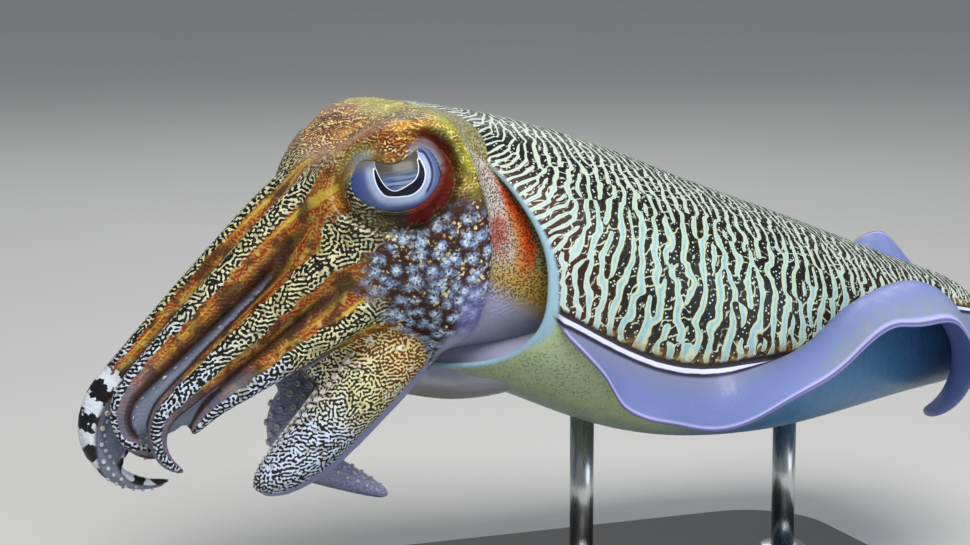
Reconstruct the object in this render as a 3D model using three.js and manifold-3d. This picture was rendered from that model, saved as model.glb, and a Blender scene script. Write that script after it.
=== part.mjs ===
// A cuttlefish hovering with its arms together, as a life-size still model on a plain stand.
// Lengths are millimetres. +Z is up, the head points along -X and the animal's left side faces -Y.
// The animal is shaped in its own level frame, then tipped tail down and lifted onto the stand.
import * as THREE from "three";
import { mergeVertices } from "three/addons/utils/BufferGeometryUtils.js";
import Module from "manifold-3d";

const wasm = await Module();
wasm.setup();

// The whole animal and how it hovers
const TAIL_X = 192; // the tail's tip, behind the side of the mantle's front rim
const PITCH = THREE.MathUtils.degToRad(11); // tail down
const LIFT = 118; // the level frame's origin above the floor
const SHIFT_X = -28; // the level frame's origin from the middle of the base
const GAP = 0.35; // between pieces that meet
const SAME_POINT = 1e-4; // points closer than this are one

// Mantle: a deep oval shell with a free front rim, long over the neck and again under the funnel
const RECESS_X = 18; // the flat floor that the neck's end meets
const WALL = 4.2; // thickness of the rim
const TAIL_ROUND = 0.14; // share of the length that rounds off at the tail
const MANTLE_SQUARE = 0.88; // under 1 is boxier than an ellipse
const MANTLE_AROUND = 32;
const MANTLE_ALONG = 25;
const LIP_ROWS = 3;
const LIP_ROUND = { inside: 2, outside: 1.6 }; // how far the rim's rounding reaches back
const MANTLE_CROWDING = 1.25; // over 1 crowds the rows towards the tail
const TAIL_OPEN = 0.01; // keeps the last row just off the tail's point

// Fins: one long waved hem along each flank
const FIN_SPAN = { left: [0.005, 0.97], right: [0.005, 0.98] }; // shares of the mantle's length
const FIN_LENGTHS = { front: [0, 0.36], middle: [0.36, 0.68], rear: [0.68, 1] };
const FIN_SINK = 5; // how deep the root is made before the mantle trims it
const FIN_STEP = 1.5; // how far ahead the root's direction is taken from
const FIN_ROOT_THICKNESS = 3.4;
const FIN_EDGE_THICKNESS = 1.3;
const FIN_ALONG = 12;
const FIN_ACROSS = 4;

// Neck and head, along a line that bends down from the mantle's axis
const NECK_LENGTH = 34;
const NECK_UP = 12; // above the middle of the mantle's opening
const HEAD_LENGTH = 37;
const HEAD_DROOP = 0.87; // radians between the mantle's axis and the arms
const DROOP_START = 26; // where the bend begins and ends, along the line
const DROOP_END = 88;
const HEAD_SQUARE = 0.92;
const HEAD_AROUND = 22;
const NECK_ALONG = 6;
const HEAD_ALONG = 11;

// Eyes: a ball longer than it is tall, in a low mound, with a ring of lid and a waved pupil
const EYE_RADIUS = 15;
const EYE_SHAPE = [1.17, 1, 0.92]; // along, out and up, of the radius
const EYE_AROUND = 16;
const EYE_ROWS = 8;
const EYE_ALONG = 57; // from the mantle's recess floor, along the bent line
const EYE_OUT = 29; // from the middle plane
const EYE_UP = 23; // above the bent line
const EYE_TILT = 0.35; // radians, front end down
const EYE_YAW = 0.3; // turned forwards
const MOUND_OUT = 10; // the mound's rise, outwards and upwards
const MOUND_UP = 22;
const MOUND_LENGTH = 17;
const EYE_SPREAD = 0.55; // radians round the head
const LID_LENGTH = 15.5;
const LID_HEIGHT = 10.5;
const LID_RADIUS = 1.7;
const LID_OUT = 8.6; // from the eye's centre
const PUPIL_DEPTH = 1.4;
const PUPIL_PROUD = 0.25;
const PUPIL_WIDTH = 3.6;
const PUPIL_LENGTH = 17;
const PUPIL_STEPS = 10;

// Funnel
const FUNNEL_BASE = { x: RECESS_X - 4, z: -13 };
const FUNNEL_END = { x: -22, z: -32 };
const FUNNEL_SIDE = 34; // half its width and height at the base
const FUNNEL_HEIGHT = 20;
const FUNNEL_TIP = 9; // radius of the open end
const FUNNEL_WALL = 2;
const FUNNEL_SAG = 3;
const FUNNEL_BORE = 0.55; // share of the length where the bore ends
const FUNNEL_AROUND = 18;
const FUNNEL_ROWS = 12;
const FUNNEL_OUTER_ROWS = 8; // the rest line the bore

// Arms: four pairs round the crown, the first pair uppermost
const ARM_AROUND = 10;
const ARM_PARTS = { base: [0, 0.36, 7], middle: [0.36, 0.7, 7], tip: [0.7, 1, 8] };
const ORAL_DEPTH = 0.75; // of the depth of the arm's outer half
const ARM_STEPS = 60;
const ARM_LINE = 140; // how far the head's line goes on between the arms

// Suckers: two staggered rows of small cups down each arm's inner face
const SUCKER_PAIRS = 8;
const SUCKER_FROM = 0.05; // share of the arm's length
const SUCKER_TO = 0.97;
const SUCKER_SIDES = 5;
const SUCKER_RADIUS = 1.9; // at the arm's base
const SUCKER_TAPER = 0.85; // under 1 shrinks more slowly than the arm
const SUCKER_MARGIN = 1.25; // of the radius, kept clear at the ends of each length
const SUCKER_ASIDE = 0.42; // of half the arm's width, from its middle line
const SUCKER_SHAPE = { sink: 0.95, foot: 0.78, rise: 0.7, mouth: 0.6, cup: 0.3 }; // of the radius
const SUCKER_VARIES = 0.12; // share that each one's size and place vary by

// Stand
const BASE = { length: 230, width: 116, thickness: 14, corner: 30, bevel: 2 };
const ROD_RADIUS = 4;
const ROD_AROUND = 16;
const ROD_SINK = 12; // how far a rod is made into the belly before the mantle trims it
const RODS = { front: 42, rear: 118 }; // where they meet the belly, in the level frame

const clamp = THREE.MathUtils.clamp;
const mix = THREE.MathUtils.lerp;
const smooth = THREE.MathUtils.smoothstep;

// A smooth curve through [place, value] pairs, as a function of the place.
const through = (...points) => (place) => {
  const last = points.length - 1;
  let i = 0;
  while (i < last - 1 && place > points[i + 1][0]) i++;
  const slope = (k) => {
    const before = points[Math.max(k - 1, 0)];
    const after = points[Math.min(k + 1, last)];
    return (after[1] - before[1]) / (after[0] - before[0]);
  };
  const [x0, y0] = points[i];
  const [x1, y1] = points[i + 1];
  const span = x1 - x0;
  const t = clamp((place - x0) / span, 0, 1);
  const rise = t * t * (3 - 2 * t);
  return (
    y0 * (1 - rise) +
    y1 * rise +
    span * (slope(i) * t * (1 - t) * (1 - t) - slope(i + 1) * t * t * (1 - t))
  );
};

// A closed mesh as a solid, with doubled points made one and empty triangles dropped.
function solidFrom(geometry) {
  for (const name of Object.keys(geometry.attributes)) {
    if (name !== "position") geometry.deleteAttribute(name);
  }
  const merged = mergeVertices(geometry, SAME_POINT);
  const corners = merged.index.array;
  const kept = [];
  for (let i = 0; i < corners.length; i += 3) {
    const [a, b, c] = corners.slice(i, i + 3);
    if (a !== b && b !== c && c !== a) kept.push(a, b, c);
  }
  const mesh = new wasm.Mesh({
    numProp: 3,
    vertProperties: new Float32Array(merged.attributes.position.array),
    triVerts: new Uint32Array(kept),
  });
  return new wasm.Manifold(mesh);
}

// The largest closed surface of a solid, without what a cut leaves over.
function largest(solid) {
  const pieces = solid.decompose();
  return pieces.reduce((a, b) => (b.volume() > a.volume() ? b : a));
}

// A named mesh of a solid, in its material.
function node(name, solid, material) {
  const { vertProperties, triVerts, numProp } = largest(solid).getMesh();
  const count = vertProperties.length / numProp;
  const positions = new Float32Array(count * 3);
  for (let i = 0; i < count; i++) {
    positions.set(vertProperties.subarray(i * numProp, i * numProp + 3), i * 3);
  }
  const geometry = new THREE.BufferGeometry();
  geometry.setAttribute("position", new THREE.BufferAttribute(positions, 3));
  geometry.setIndex(new THREE.BufferAttribute(new Uint32Array(triVerts), 1));
  geometry.computeVertexNormals();
  const mesh = new THREE.Mesh(geometry, material);
  mesh.name = name;
  return mesh;
}

// A closed ball of quads whose every point is moved to place(row, angle): row 0 is the first pole.
function shaped(around, along, place) {
  const ball = new THREE.SphereGeometry(1, around, along);
  const position = ball.attributes.position;
  const p = new THREE.Vector3();
  for (let i = 0; i < position.count; i++) {
    p.fromBufferAttribute(position, i);
    const row = Math.round((Math.acos(clamp(p.y, -1, 1)) / Math.PI) * along);
    const angle = Math.atan2(p.z, p.x);
    place(row, row === 0 || row === along ? 0 : angle, p);
    position.setXYZ(i, p.x, p.y, p.z);
  }
  return solidFrom(ball);
}

// A thin closed sheet whose two faces have the same triangles: place(u, v, side) with side 1 or -1.
function sheet(along, across, place) {
  const points = [];
  const p = new THREE.Vector3();
  for (const side of [1, -1]) {
    for (let i = 0; i <= along; i++) {
      for (let j = 0; j <= across; j++) {
        place(i / along, j / across, side, p);
        points.push(p.x, p.y, p.z);
      }
    }
  }
  const at = (i, j) => i * (across + 1) + j;
  const under = (along + 1) * (across + 1);
  const faces = [];
  const quad = (a, b, c, d) => faces.push(a, b, c, a, c, d);
  for (let i = 0; i < along; i++) {
    for (let j = 0; j < across; j++) {
      const [a, b, c, d] = [at(i, j), at(i + 1, j), at(i + 1, j + 1), at(i, j + 1)];
      quad(a, b, c, d);
      faces.push(under + a, under + c, under + b, under + a, under + d, under + c);
    }
    const [a, b] = [at(i, 0), at(i + 1, 0)];
    const [c, d] = [at(i, across), at(i + 1, across)];
    quad(under + a, under + b, b, a);
    quad(c, d, under + d, under + c);
  }
  for (let j = 0; j < across; j++) {
    const [a, b] = [at(0, j), at(0, j + 1)];
    const [c, d] = [at(along, j), at(along, j + 1)];
    quad(a, b, under + b, under + a);
    quad(under + c, under + d, d, c);
  }
  const geometry = new THREE.BufferGeometry();
  geometry.setAttribute("position", new THREE.Float32BufferAttribute(points, 3));
  geometry.setIndex(faces);
  return solidFrom(geometry);
}

// Mantle
const halfWidth = through([-0.16, 40], [0, 48], [0.2, 55], [0.42, 55], [0.64, 45], [0.84, 29], [1, 20]);
const backHeight = through([-0.2, 47], [0, 48.5], [0.2, 48], [0.45, 42.5], [0.7, 32], [1, 17]);
const bellyDepth = through([-0.16, 34], [0, 38], [0.25, 41], [0.5, 34], [0.75, 20], [1, 10]);
const flankLine = through([-0.16, 6], [0, 4], [0.35, -4], [0.7, -3], [1, 2]);

const tailRound = (share) =>
  share < 1 - TAIL_ROUND ? 1 : Math.sqrt(Math.max(0, 1 - ((share - 1 + TAIL_ROUND) / TAIL_ROUND) ** 2));

// The rim's place along the body, by the angle round from the back.
const rimLine = through(
  [0, -40], [0.5, -34], [1, -15], [1.4, -3], [1.8, 0], [2.2, -5], [2.7, -16], [Math.PI, -21],
);
const rimX = (angle) => rimLine(Math.abs(angle));

// A point of the mantle's surface at x, angle round from the back towards the left, grown outwards.
function mantlePoint(x, angle, grow, p) {
  const share = x / TAIL_X;
  const round = tailRound(share);
  const c = Math.cos(angle);
  const s = Math.sin(angle);
  const bend = (v) => Math.sign(v) * Math.abs(v) ** MANTLE_SQUARE;
  const side = halfWidth(share) * round + grow;
  const height = (c > 0 ? backHeight(share) : bellyDepth(share)) * round + grow;
  return p.set(x, -side * bend(s), flankLine(share) + height * bend(c));
}

function mantleSolid(grow = 0) {
  return shaped(MANTLE_AROUND, MANTLE_ALONG, (row, angle, p) => {
    const rim = rimX(angle);
    const floor = RECESS_X - grow;
    if (row === 0) return p.set(floor, 0, flankLine(floor / TAIL_X));
    if (row === 1) return mantlePoint(floor, angle, -WALL - grow, p);
    if (row === 2) return mantlePoint(rim + LIP_ROUND.inside, angle, -WALL - grow, p);
    if (row === LIP_ROWS) return mantlePoint(rim - grow, angle, -WALL / 2, p);
    const u = (row - LIP_ROWS - 1) / (MANTLE_ALONG - LIP_ROWS - 1);
    const share = 1 - (1 - u) ** MANTLE_CROWDING;
    const x = mix(rim + LIP_ROUND.outside, TAIL_X + grow, share);
    return row === MANTLE_ALONG
      ? p.set(TAIL_X + grow, 0, flankLine(1))
      : mantlePoint(Math.min(x, TAIL_X - TAIL_OPEN), angle, grow, p);
  });
}

// Fins
const finRoot = through(
  [0, 1.72], [0.2, 1.84], [0.37, 1.72], [0.55, 1.45], [0.66, 1.2], [0.82, 1.02], [1, 1.0],
);
const finWidth = {
  left: through(
    [0, 2], [0.11, 10], [0.16, 17], [0.27, 18], [0.44, 24], [0.6, 33], [0.77, 36], [0.88, 32], [1, 8],
  ),
  right: through([0, 2], [0.1, 12], [0.3, 22], [0.6, 26], [0.87, 27], [1, 8]),
};
// How far the fin turns up from level, along its root: the waves that run down each side
const finTurn = {
  left: through(
    [0, -0.9], [0.11, -1.25], [0.24, -1.3], [0.31, -1], [0.38, -0.1], [0.43, 0.6],
    [0.49, 1.4], [0.55, 1.95], [0.63, 1.9], [0.71, 1.2], [0.78, 0], [0.86, -0.6], [1, -0.5],
  ),
  right: through(
    [0, -0.3], [0.2, -0.6], [0.4, -0.2], [0.6, 0], [0.78, 0.3],
    [0.87, 0.95], [0.94, 0.5], [1, 0.7],
  ),
};
// How much further it turns from the root to the edge, so that a raised wave folds over
const finBend = {
  left: through([0, -0.25], [0.38, -0.3], [0.48, -1.1], [0.56, -1.6], [0.65, -1.7], [0.77, -1.3], [1, -0.5]),
  right: through([0, -0.2], [1, -0.2]),
};

// A fin's point: u along from the front, v across from the root, side 1 for its upper face.
function finPoint(flank, u, v, side, p) {
  const sign = flank === "left" ? 1 : -1;
  const share = mix(...FIN_SPAN[flank], u);
  const x = TAIL_X * share;
  const round = sign * finRoot(share);
  const root = mantlePoint(x, round, 0, new THREE.Vector3());
  const near = mantlePoint(x - FIN_STEP, round, 0, new THREE.Vector3());
  const along = root.clone().sub(near).normalize();
  const level = new THREE.Vector3(0, 0, 1).cross(along).normalize();
  if (level.y * sign > 0) level.negate();
  const width = finWidth[flank](u);
  const turn = finTurn[flank](u);
  const reach = v * (width + FIN_SINK) - FIN_SINK;
  const angle = turn + finBend[flank](u) * Math.max(v, 0);
  const out = level.clone().multiplyScalar(Math.cos(angle));
  out.z += Math.sin(angle);
  const up = level.clone().multiplyScalar(-Math.sin(angle));
  up.z += Math.cos(angle);
  const half = mix(FIN_ROOT_THICKNESS, FIN_EDGE_THICKNESS, v) / 2;
  return p.copy(root).addScaledVector(out, reach).addScaledVector(up, half * side);
}

function finSolid(flank, [from, to], trim) {
  const [start, end] = FIN_SPAN[flank];
  const cut = GAP / 2 / (TAIL_X * (end - start));
  const u0 = from + (from > 0 ? cut : 0);
  const u1 = to - (to < 1 ? cut : 0);
  const order = flank === "left" ? -1 : 1;
  const whole = sheet(FIN_ALONG, FIN_ACROSS, (u, v, side, p) =>
    finPoint(flank, mix(u0, u1, u), v, side * order, p),
  );
  return whole.subtract(trim);
}

// Line of the neck and head, as points that bend down in the middle plane
const HEAD_LINE = (() => {
  const step = 1;
  const points = [];
  let [x, z] = [RECESS_X + 1, flankLine(RECESS_X / TAIL_X) + NECK_UP];
  for (let d = 0; d <= NECK_LENGTH + HEAD_LENGTH + ARM_LINE; d += step) {
    const droop = HEAD_DROOP * smooth(d, DROOP_START, DROOP_END);
    points.push({ x, z, droop });
    x -= step * Math.cos(droop);
    z -= step * Math.sin(droop);
  }
  return points;
})();

function headFrame(d) {
  const i = clamp(Math.floor(d), 0, HEAD_LINE.length - 2);
  const t = clamp(d - i, 0, 1);
  const [a, b] = [HEAD_LINE[i], HEAD_LINE[i + 1]];
  const droop = mix(a.droop, b.droop, t);
  return {
    origin: new THREE.Vector3(mix(a.x, b.x, t), 0, mix(a.z, b.z, t)),
    forward: new THREE.Vector3(-Math.cos(droop), 0, -Math.sin(droop)),
    up: new THREE.Vector3(-Math.sin(droop), 0, Math.cos(droop)),
    left: new THREE.Vector3(0, -1, 0),
    right: new THREE.Vector3(0, 1, 0),
  };
}

const headSide = through([0, 40], [34, 37], [50, 36], [71, 32]);
const headUp = through([0, 29], [50, 30.5], [60, 33], [71, 34]);
const headDown = through([0, 34], [34, 38], [50, 41], [71, 38]);

// A point of the neck or head: d along its line, angle round from the top towards the right.
function headPoint(d, angle, grow, p) {
  const { origin, up, right } = headFrame(d);
  const c = Math.cos(angle);
  const s = Math.sin(angle);
  const bend = (v) => Math.sign(v) * Math.abs(v) ** HEAD_SQUARE;
  const fromEye = (Math.abs(angle) - Math.atan2(EYE_OUT, EYE_UP)) / EYE_SPREAD;
  const along = (d - EYE_ALONG) / MOUND_LENGTH;
  const mound = Math.exp(-fromEye * fromEye - along * along);
  const side = headSide(d) * bend(s) + (mound * MOUND_OUT + grow) * s;
  const rise = (c > 0 ? headUp(d) : headDown(d)) * bend(c) + (mound * MOUND_UP + grow) * c;
  return p.copy(origin).addScaledVector(right, side).addScaledVector(up, rise);
}

function headLength(from, to, along, grow = 0) {
  return shaped(HEAD_AROUND, along, (row, angle, p) => {
    const u = clamp((row - 1) / (along - 2), 0, 1);
    const d = mix(from, to, u);
    if (row === 0 || row === along) return p.copy(headFrame(d).origin);
    return headPoint(d, angle, grow, p);
  });
}

function eyeCentre(flank) {
  const { origin, up, left } = headFrame(EYE_ALONG);
  const sign = flank === "left" ? 1 : -1;
  return origin.clone().addScaledVector(up, EYE_UP).addScaledVector(left, sign * EYE_OUT);
}

const eyeBall = (flank, grow) => {
  const radius = EYE_RADIUS + grow;
  const geometry = new THREE.SphereGeometry(radius, EYE_AROUND, EYE_ROWS);
  geometry.rotateX(Math.PI / 2);
  geometry.scale(...EYE_SHAPE);
  return placed(geometry, flank);
};

// A piece made round the eye's centre, turned with the eye and put in its place.
function placed(geometry, flank) {
  const centre = eyeCentre(flank);
  geometry.rotateY(-EYE_TILT).rotateZ(flank === "left" ? -EYE_YAW : EYE_YAW);
  geometry.translate(centre.x, centre.y, centre.z);
  return solidFrom(geometry);
}

function lidRing(flank) {
  const out = flank === "left" ? -1 : 1;
  const ring = new THREE.TorusGeometry(1, LID_RADIUS / LID_LENGTH, 6, EYE_AROUND);
  ring.scale(LID_LENGTH, LID_HEIGHT, LID_LENGTH);
  ring.rotateX(Math.PI / 2);
  ring.translate(0, out * LID_OUT, 0);
  return placed(ring, flank);
}

// The pupil's outline pushed outwards: a band that dips on each side of its middle.
const pupilLine = through([-1, 3.4], [-0.55, -1.6], [0, 0], [0.55, -1.6], [1, 3.4]);
function pupilPrism(flank, grow) {
  const out = flank === "left" ? -1 : 1;
  const outline = new THREE.Shape();
  const half = PUPIL_LENGTH / 2;
  const edge = (k, side) => {
    const x = ((k / PUPIL_STEPS) * 2 - 1) * (half + grow);
    return [x, pupilLine(x / half) + side * (PUPIL_WIDTH / 2 + 2 * grow)];
  };
  outline.moveTo(...edge(0, -1));
  for (let k = 1; k <= PUPIL_STEPS; k++) outline.lineTo(...edge(k, -1));
  for (let k = PUPIL_STEPS; k >= 0; k--) outline.lineTo(...edge(k, 1));
  const prism = new THREE.ExtrudeGeometry(outline, { depth: 2 * EYE_RADIUS, bevelEnabled: false });
  if (out < 0) prism.rotateX(Math.PI / 2);
  else prism.rotateX(Math.PI / 2).translate(0, 2 * EYE_RADIUS, 0);
  return placed(prism, flank);
}

// Funnel: a soft tube from under the neck forwards, with its open end below the head
function funnelSolid() {
  const size = through([0, 1], [0.5, 0.72], [1, FUNNEL_TIP / FUNNEL_SIDE]);
  const lining = FUNNEL_ROWS - FUNNEL_OUTER_ROWS;
  return shaped(FUNNEL_AROUND, FUNNEL_ROWS, (row, angle, p) => {
    const outside = row < FUNNEL_OUTER_ROWS;
    const u = outside
      ? clamp((row - 1) / (FUNNEL_OUTER_ROWS - 2), 0, 1)
      : clamp((FUNNEL_ROWS - 1 - row) / lining, FUNNEL_BORE, 1);
    const wall = row > FUNNEL_OUTER_ROWS ? FUNNEL_WALL : 0;
    const sag = FUNNEL_SAG * Math.sin(Math.PI * u);
    p.set(mix(FUNNEL_BASE.x, FUNNEL_END.x, u), 0, mix(FUNNEL_BASE.z, FUNNEL_END.z, u) - sag);
    if (row === 0 || row === FUNNEL_ROWS) return p;
    p.y = (FUNNEL_SIDE * size(u) - wall) * Math.sin(angle);
    p.z += (mix(FUNNEL_HEIGHT, FUNNEL_TIP, u) - wall) * Math.cos(angle);
    return p;
  });
}

// Arms: angle round the crown from the top, size, how far its middle starts from the crown's
// line and how that changes to the end, how blunt the end is, and how far it curls down and back
const ARMS = {
  1: { angle: 0.4, length: 112, width: 16, depth: 18, out: 26, spread: 0.6, curl: [0.72, 1, 2.3] },
  2: { angle: 1.2, length: 104, width: 16, depth: 18, out: 26, spread: 0.6, curl: [0.74, 1, 2.1] },
  3: { angle: 1.9, length: 78, width: 18, depth: 18, out: 26, spread: 0.25, curl: [0.78, 1, 0.4] },
  4: { angle: 2.55, length: 74, width: 22, depth: 25, out: 33, spread: 1.3, curl: [0.6, 1, -0.25] },
};
const BLUNT = { left: 0.85, right: 0 }; // of the last pair
// The right side's first and last arms are stretched out further and curl round more.
const RIGHT_ARMS = {
  1: { length: 136, curl: [0.64, 1, 2.7] },
  4: { length: 98, curl: [0.44, 0.68, 1.9] },
};
const CROWN_SIDE = 21; // half the distance between the middles of the widest pairs
const ARMS_CLOSE = 0.5; // how far that narrows to the arms' ends
const LAST_PAIR_CLOSE = 1.15;
const slender = through([0, 1], [0.35, 0.84], [0.7, 0.56], [0.9, 0.32], [1, 0.14]);
const blunt = through([0, 1], [0.35, 1], [0.7, 0.88], [0.9, 0.6], [1, 0.2]);
const armTaper = (arm, s) => mix(slender(s), blunt(s), arm.blunt);

function armPath(arm, sign) {
  const points = [];
  const crown = NECK_LENGTH + HEAD_LENGTH + GAP;
  const [curlFrom, curlTo, curl] = arm.curl;
  let place = null;
  let direction = null;
  for (let i = 0; i <= ARM_STEPS; i++) {
    const s = i / ARM_STEPS;
    const { origin, up, left, forward } = headFrame(crown + s * arm.length);
    const outward = up
      .clone()
      .multiplyScalar(Math.cos(arm.angle) * arm.out * mix(1, arm.spread, s))
      .addScaledVector(left, sign * Math.sin(arm.angle) * CROWN_SIDE * mix(1, arm.close, s));
    if (s <= curlFrom) {
      const next = origin.clone().add(outward);
      direction = place ? next.clone().sub(place).normalize() : forward.clone();
      place = next;
    } else {
      const turn = s > curlTo ? 0 : curl / ((curlTo - curlFrom) * ARM_STEPS);
      direction = direction.clone().applyAxisAngle(new THREE.Vector3(0, -1, 0), turn);
      place = place.clone().addScaledVector(direction, arm.length / ARM_STEPS);
    }
    const aboral = outward.clone().addScaledVector(direction, -outward.dot(direction)).normalize();
    points.push({ place, direction, aboral, side: direction.clone().cross(aboral) });
  }
  return points;
}

function armFrame(path, s) {
  const x = clamp(s, 0, 1) * ARM_STEPS;
  const i = Math.min(Math.floor(x), ARM_STEPS - 1);
  const [a, b] = [path[i], path[i + 1]];
  const t = x - i;
  const blend = (key) => a[key].clone().lerp(b[key], t);
  return { place: blend("place"), aboral: blend("aboral").normalize(), side: blend("side").normalize() };
}

function armSolid(arm, path, [from, to, along]) {
  const cut = GAP / 2 / arm.length;
  const s0 = from > 0 ? from + cut : from;
  const s1 = to < 1 ? to - cut : to;
  return shaped(ARM_AROUND, along, (row, angle, p) => {
    const u = clamp((row - 1) / (along - 2), 0, 1);
    const s = mix(s0, s1, u);
    const { place, aboral, side } = armFrame(path, s);
    if (row === 0 || row === along) return p.copy(place);
    const c = Math.cos(angle);
    const width = (arm.width / 2) * armTaper(arm, s) * Math.sin(angle);
    const depth = (arm.depth / 2) * armTaper(arm, s) * (c > 0 ? c : c * ORAL_DEPTH);
    return p.copy(place).addScaledVector(side, width).addScaledVector(aboral, depth);
  });
}

// The same chances on every run.
let chance = 7;
function vary(share) {
  chance = (chance * 1103515245 + 12345) % 2147483648;
  return 1 + share * ((chance / 2147483648) * 2 - 1);
}

// A cup with its foot below the skin, made along +Y.
function cupGeometry(radius) {
  const { sink, foot, rise, mouth, cup } = SUCKER_SHAPE;
  const profile = [
    [0, -sink],
    [foot, -sink],
    [1, rise],
    [mouth, rise],
    [0, cup],
  ];
  const points = profile.map(([r, y]) => new THREE.Vector2(r * radius, y * radius));
  return new THREE.LatheGeometry(points, SUCKER_SIDES);
}

// An arm's length with its share of the two rows fused on.
function withSuckers(solid, arm, path, [from, to]) {
  let whole = solid;
  for (let k = 0; k < 2 * SUCKER_PAIRS; k++) {
    const row = k % 2 === 0 ? 1 : -1;
    const place = mix(SUCKER_FROM, SUCKER_TO, (k + 0.5) / (2 * SUCKER_PAIRS));
    if (place < from || place >= to) continue;
    const radius = SUCKER_RADIUS * slender(place) ** SUCKER_TAPER * vary(SUCKER_VARIES);
    const margin = (SUCKER_MARGIN * radius + GAP) / arm.length;
    const s = clamp(place, from + margin, to - margin);
    const frame = armFrame(path, s);
    const aside = row * SUCKER_ASIDE * vary(SUCKER_VARIES);
    const width = (arm.width / 2) * armTaper(arm, s);
    const depth = (arm.depth / 2) * armTaper(arm, s) * ORAL_DEPTH;
    const inward = Math.sqrt(1 - aside * aside);
    const foot = frame.place
      .clone()
      .addScaledVector(frame.side, width * aside)
      .addScaledVector(frame.aboral, -depth * inward);
    const out = frame.side
      .clone()
      .multiplyScalar(aside / width)
      .addScaledVector(frame.aboral, -inward / depth)
      .normalize();
    const turn = new THREE.Quaternion().setFromUnitVectors(new THREE.Vector3(0, 1, 0), out);
    const cup = cupGeometry(radius).applyQuaternion(turn);
    cup.translate(foot.x, foot.y, foot.z);
    whole = whole.add(solidFrom(cup));
  }
  return whole;
}

// Stand
function baseSolid() {
  const { length, width, thickness, corner, bevel } = BASE;
  const outline = new THREE.Shape();
  const [x, y] = [length / 2 - bevel, width / 2 - bevel];
  const r = corner - bevel;
  outline.moveTo(-x + r, -y);
  outline.lineTo(x - r, -y);
  outline.absarc(x - r, -y + r, r, -Math.PI / 2, 0);
  outline.absarc(x - r, y - r, r, 0, Math.PI / 2);
  outline.absarc(-x + r, y - r, r, Math.PI / 2, Math.PI);
  outline.absarc(-x + r, -y + r, r, Math.PI, 1.5 * Math.PI);
  const plate = new THREE.ExtrudeGeometry(outline, {
    depth: thickness - 2 * bevel,
    bevelThickness: bevel,
    bevelSize: bevel,
    bevelSegments: 1,
    curveSegments: 4,
  });
  plate.translate(0, 0, bevel);
  return solidFrom(plate);
}

const hover = new THREE.Matrix4()
  .makeTranslation(SHIFT_X, 0, LIFT)
  .multiply(new THREE.Matrix4().makeRotationY(PITCH));

function rodSolid(x) {
  const foot = mantlePoint(x, Math.PI, 0, new THREE.Vector3()).applyMatrix4(hover);
  const bottom = BASE.thickness + GAP;
  const height = foot.z - bottom + ROD_SINK;
  const rod = new THREE.CylinderGeometry(ROD_RADIUS, ROD_RADIUS, height, ROD_AROUND);
  rod.rotateX(Math.PI / 2);
  rod.translate(foot.x, 0, bottom + height / 2);
  return solidFrom(rod).subtract(mantleSolid(GAP).transform(hover.elements));
}

const finish = (color, roughness, metalness = 0) =>
  new THREE.MeshStandardMaterial({ color, roughness, metalness });
const materials = {
  mantle: finish(0x8f988c, 0.4),
  fin: finish(0x8f9bd0, 0.35),
  head: finish(0x8a6a3c, 0.4),
  arm: finish(0x9a7440, 0.4),
  eye: finish(0x9db0cf, 0.15),
  pupil: finish(0x10131f, 0.1),
  funnel: finish(0x8b8fa8, 0.35),
  stand: finish(0x26231f, 0.4),
  rod: finish(0xb9bdc0, 0.25, 1),
};

const animal = new THREE.Group();
animal.rotation.y = PITCH;
animal.position.set(SHIFT_X, 0, LIFT);

animal.add(node("mantle", mantleSolid(), materials.mantle));
const trim = mantleSolid(GAP);
for (const flank of ["left", "right"]) {
  for (const [part, range] of Object.entries(FIN_LENGTHS)) {
    animal.add(node(`fin_${flank}_${part}`, finSolid(flank, range, trim), materials.fin));
  }
}
const neck = headLength(0, NECK_LENGTH, NECK_ALONG).subtract(trim);
animal.add(node("neck", neck, materials.head));
const clearance = headLength(-GAP, NECK_LENGTH + HEAD_LENGTH + GAP, HEAD_ALONG + NECK_ALONG, GAP);
animal.add(node("funnel", funnelSolid().subtract(trim).subtract(clearance), materials.funnel));
let head = headLength(NECK_LENGTH + GAP, NECK_LENGTH + HEAD_LENGTH, HEAD_ALONG);
for (const flank of ["left", "right"]) {
  head = head.add(lidRing(flank)).subtract(eyeBall(flank, GAP));
  const pocket = pupilPrism(flank, GAP).subtract(eyeBall(flank, -PUPIL_DEPTH - GAP));
  const pupil = pupilPrism(flank, 0)
    .intersect(eyeBall(flank, PUPIL_PROUD))
    .subtract(eyeBall(flank, -PUPIL_DEPTH));
  animal.add(node(`eye_${flank}`, eyeBall(flank, 0).subtract(pocket), materials.eye));
  animal.add(node(`pupil_${flank}`, pupil, materials.pupil));
}
animal.add(node("head", head.subtract(trim), materials.head));
for (const flank of ["left", "right"]) {
  for (const pair of Object.keys(ARMS)) {
    const own = flank === "left" ? {} : RIGHT_ARMS[pair];
    const last = pair === "4";
    const arm = {
      ...ARMS[pair],
      ...own,
      blunt: last ? BLUNT[flank] : 0,
      close: last ? LAST_PAIR_CLOSE : ARMS_CLOSE,
    };
    const path = armPath(arm, flank === "left" ? 1 : -1);
    for (const [part, range] of Object.entries(ARM_PARTS)) {
      const solid = withSuckers(armSolid(arm, path, range), arm, path, range);
      animal.add(node(`arm_${flank}_${pair}_${part}`, solid, materials.arm));
    }
  }
}

const model = new THREE.Group();
model.add(animal);
model.add(node("stand_base", baseSolid(), materials.stand));
for (const [place, x] of Object.entries(RODS)) {
  model.add(node(`stand_rod_${place}`, rodSolid(x), materials.rod));
}

export default model;
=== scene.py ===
import math

import bmesh
import bpy
import numpy as np
from mathutils import Matrix, Vector


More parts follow.
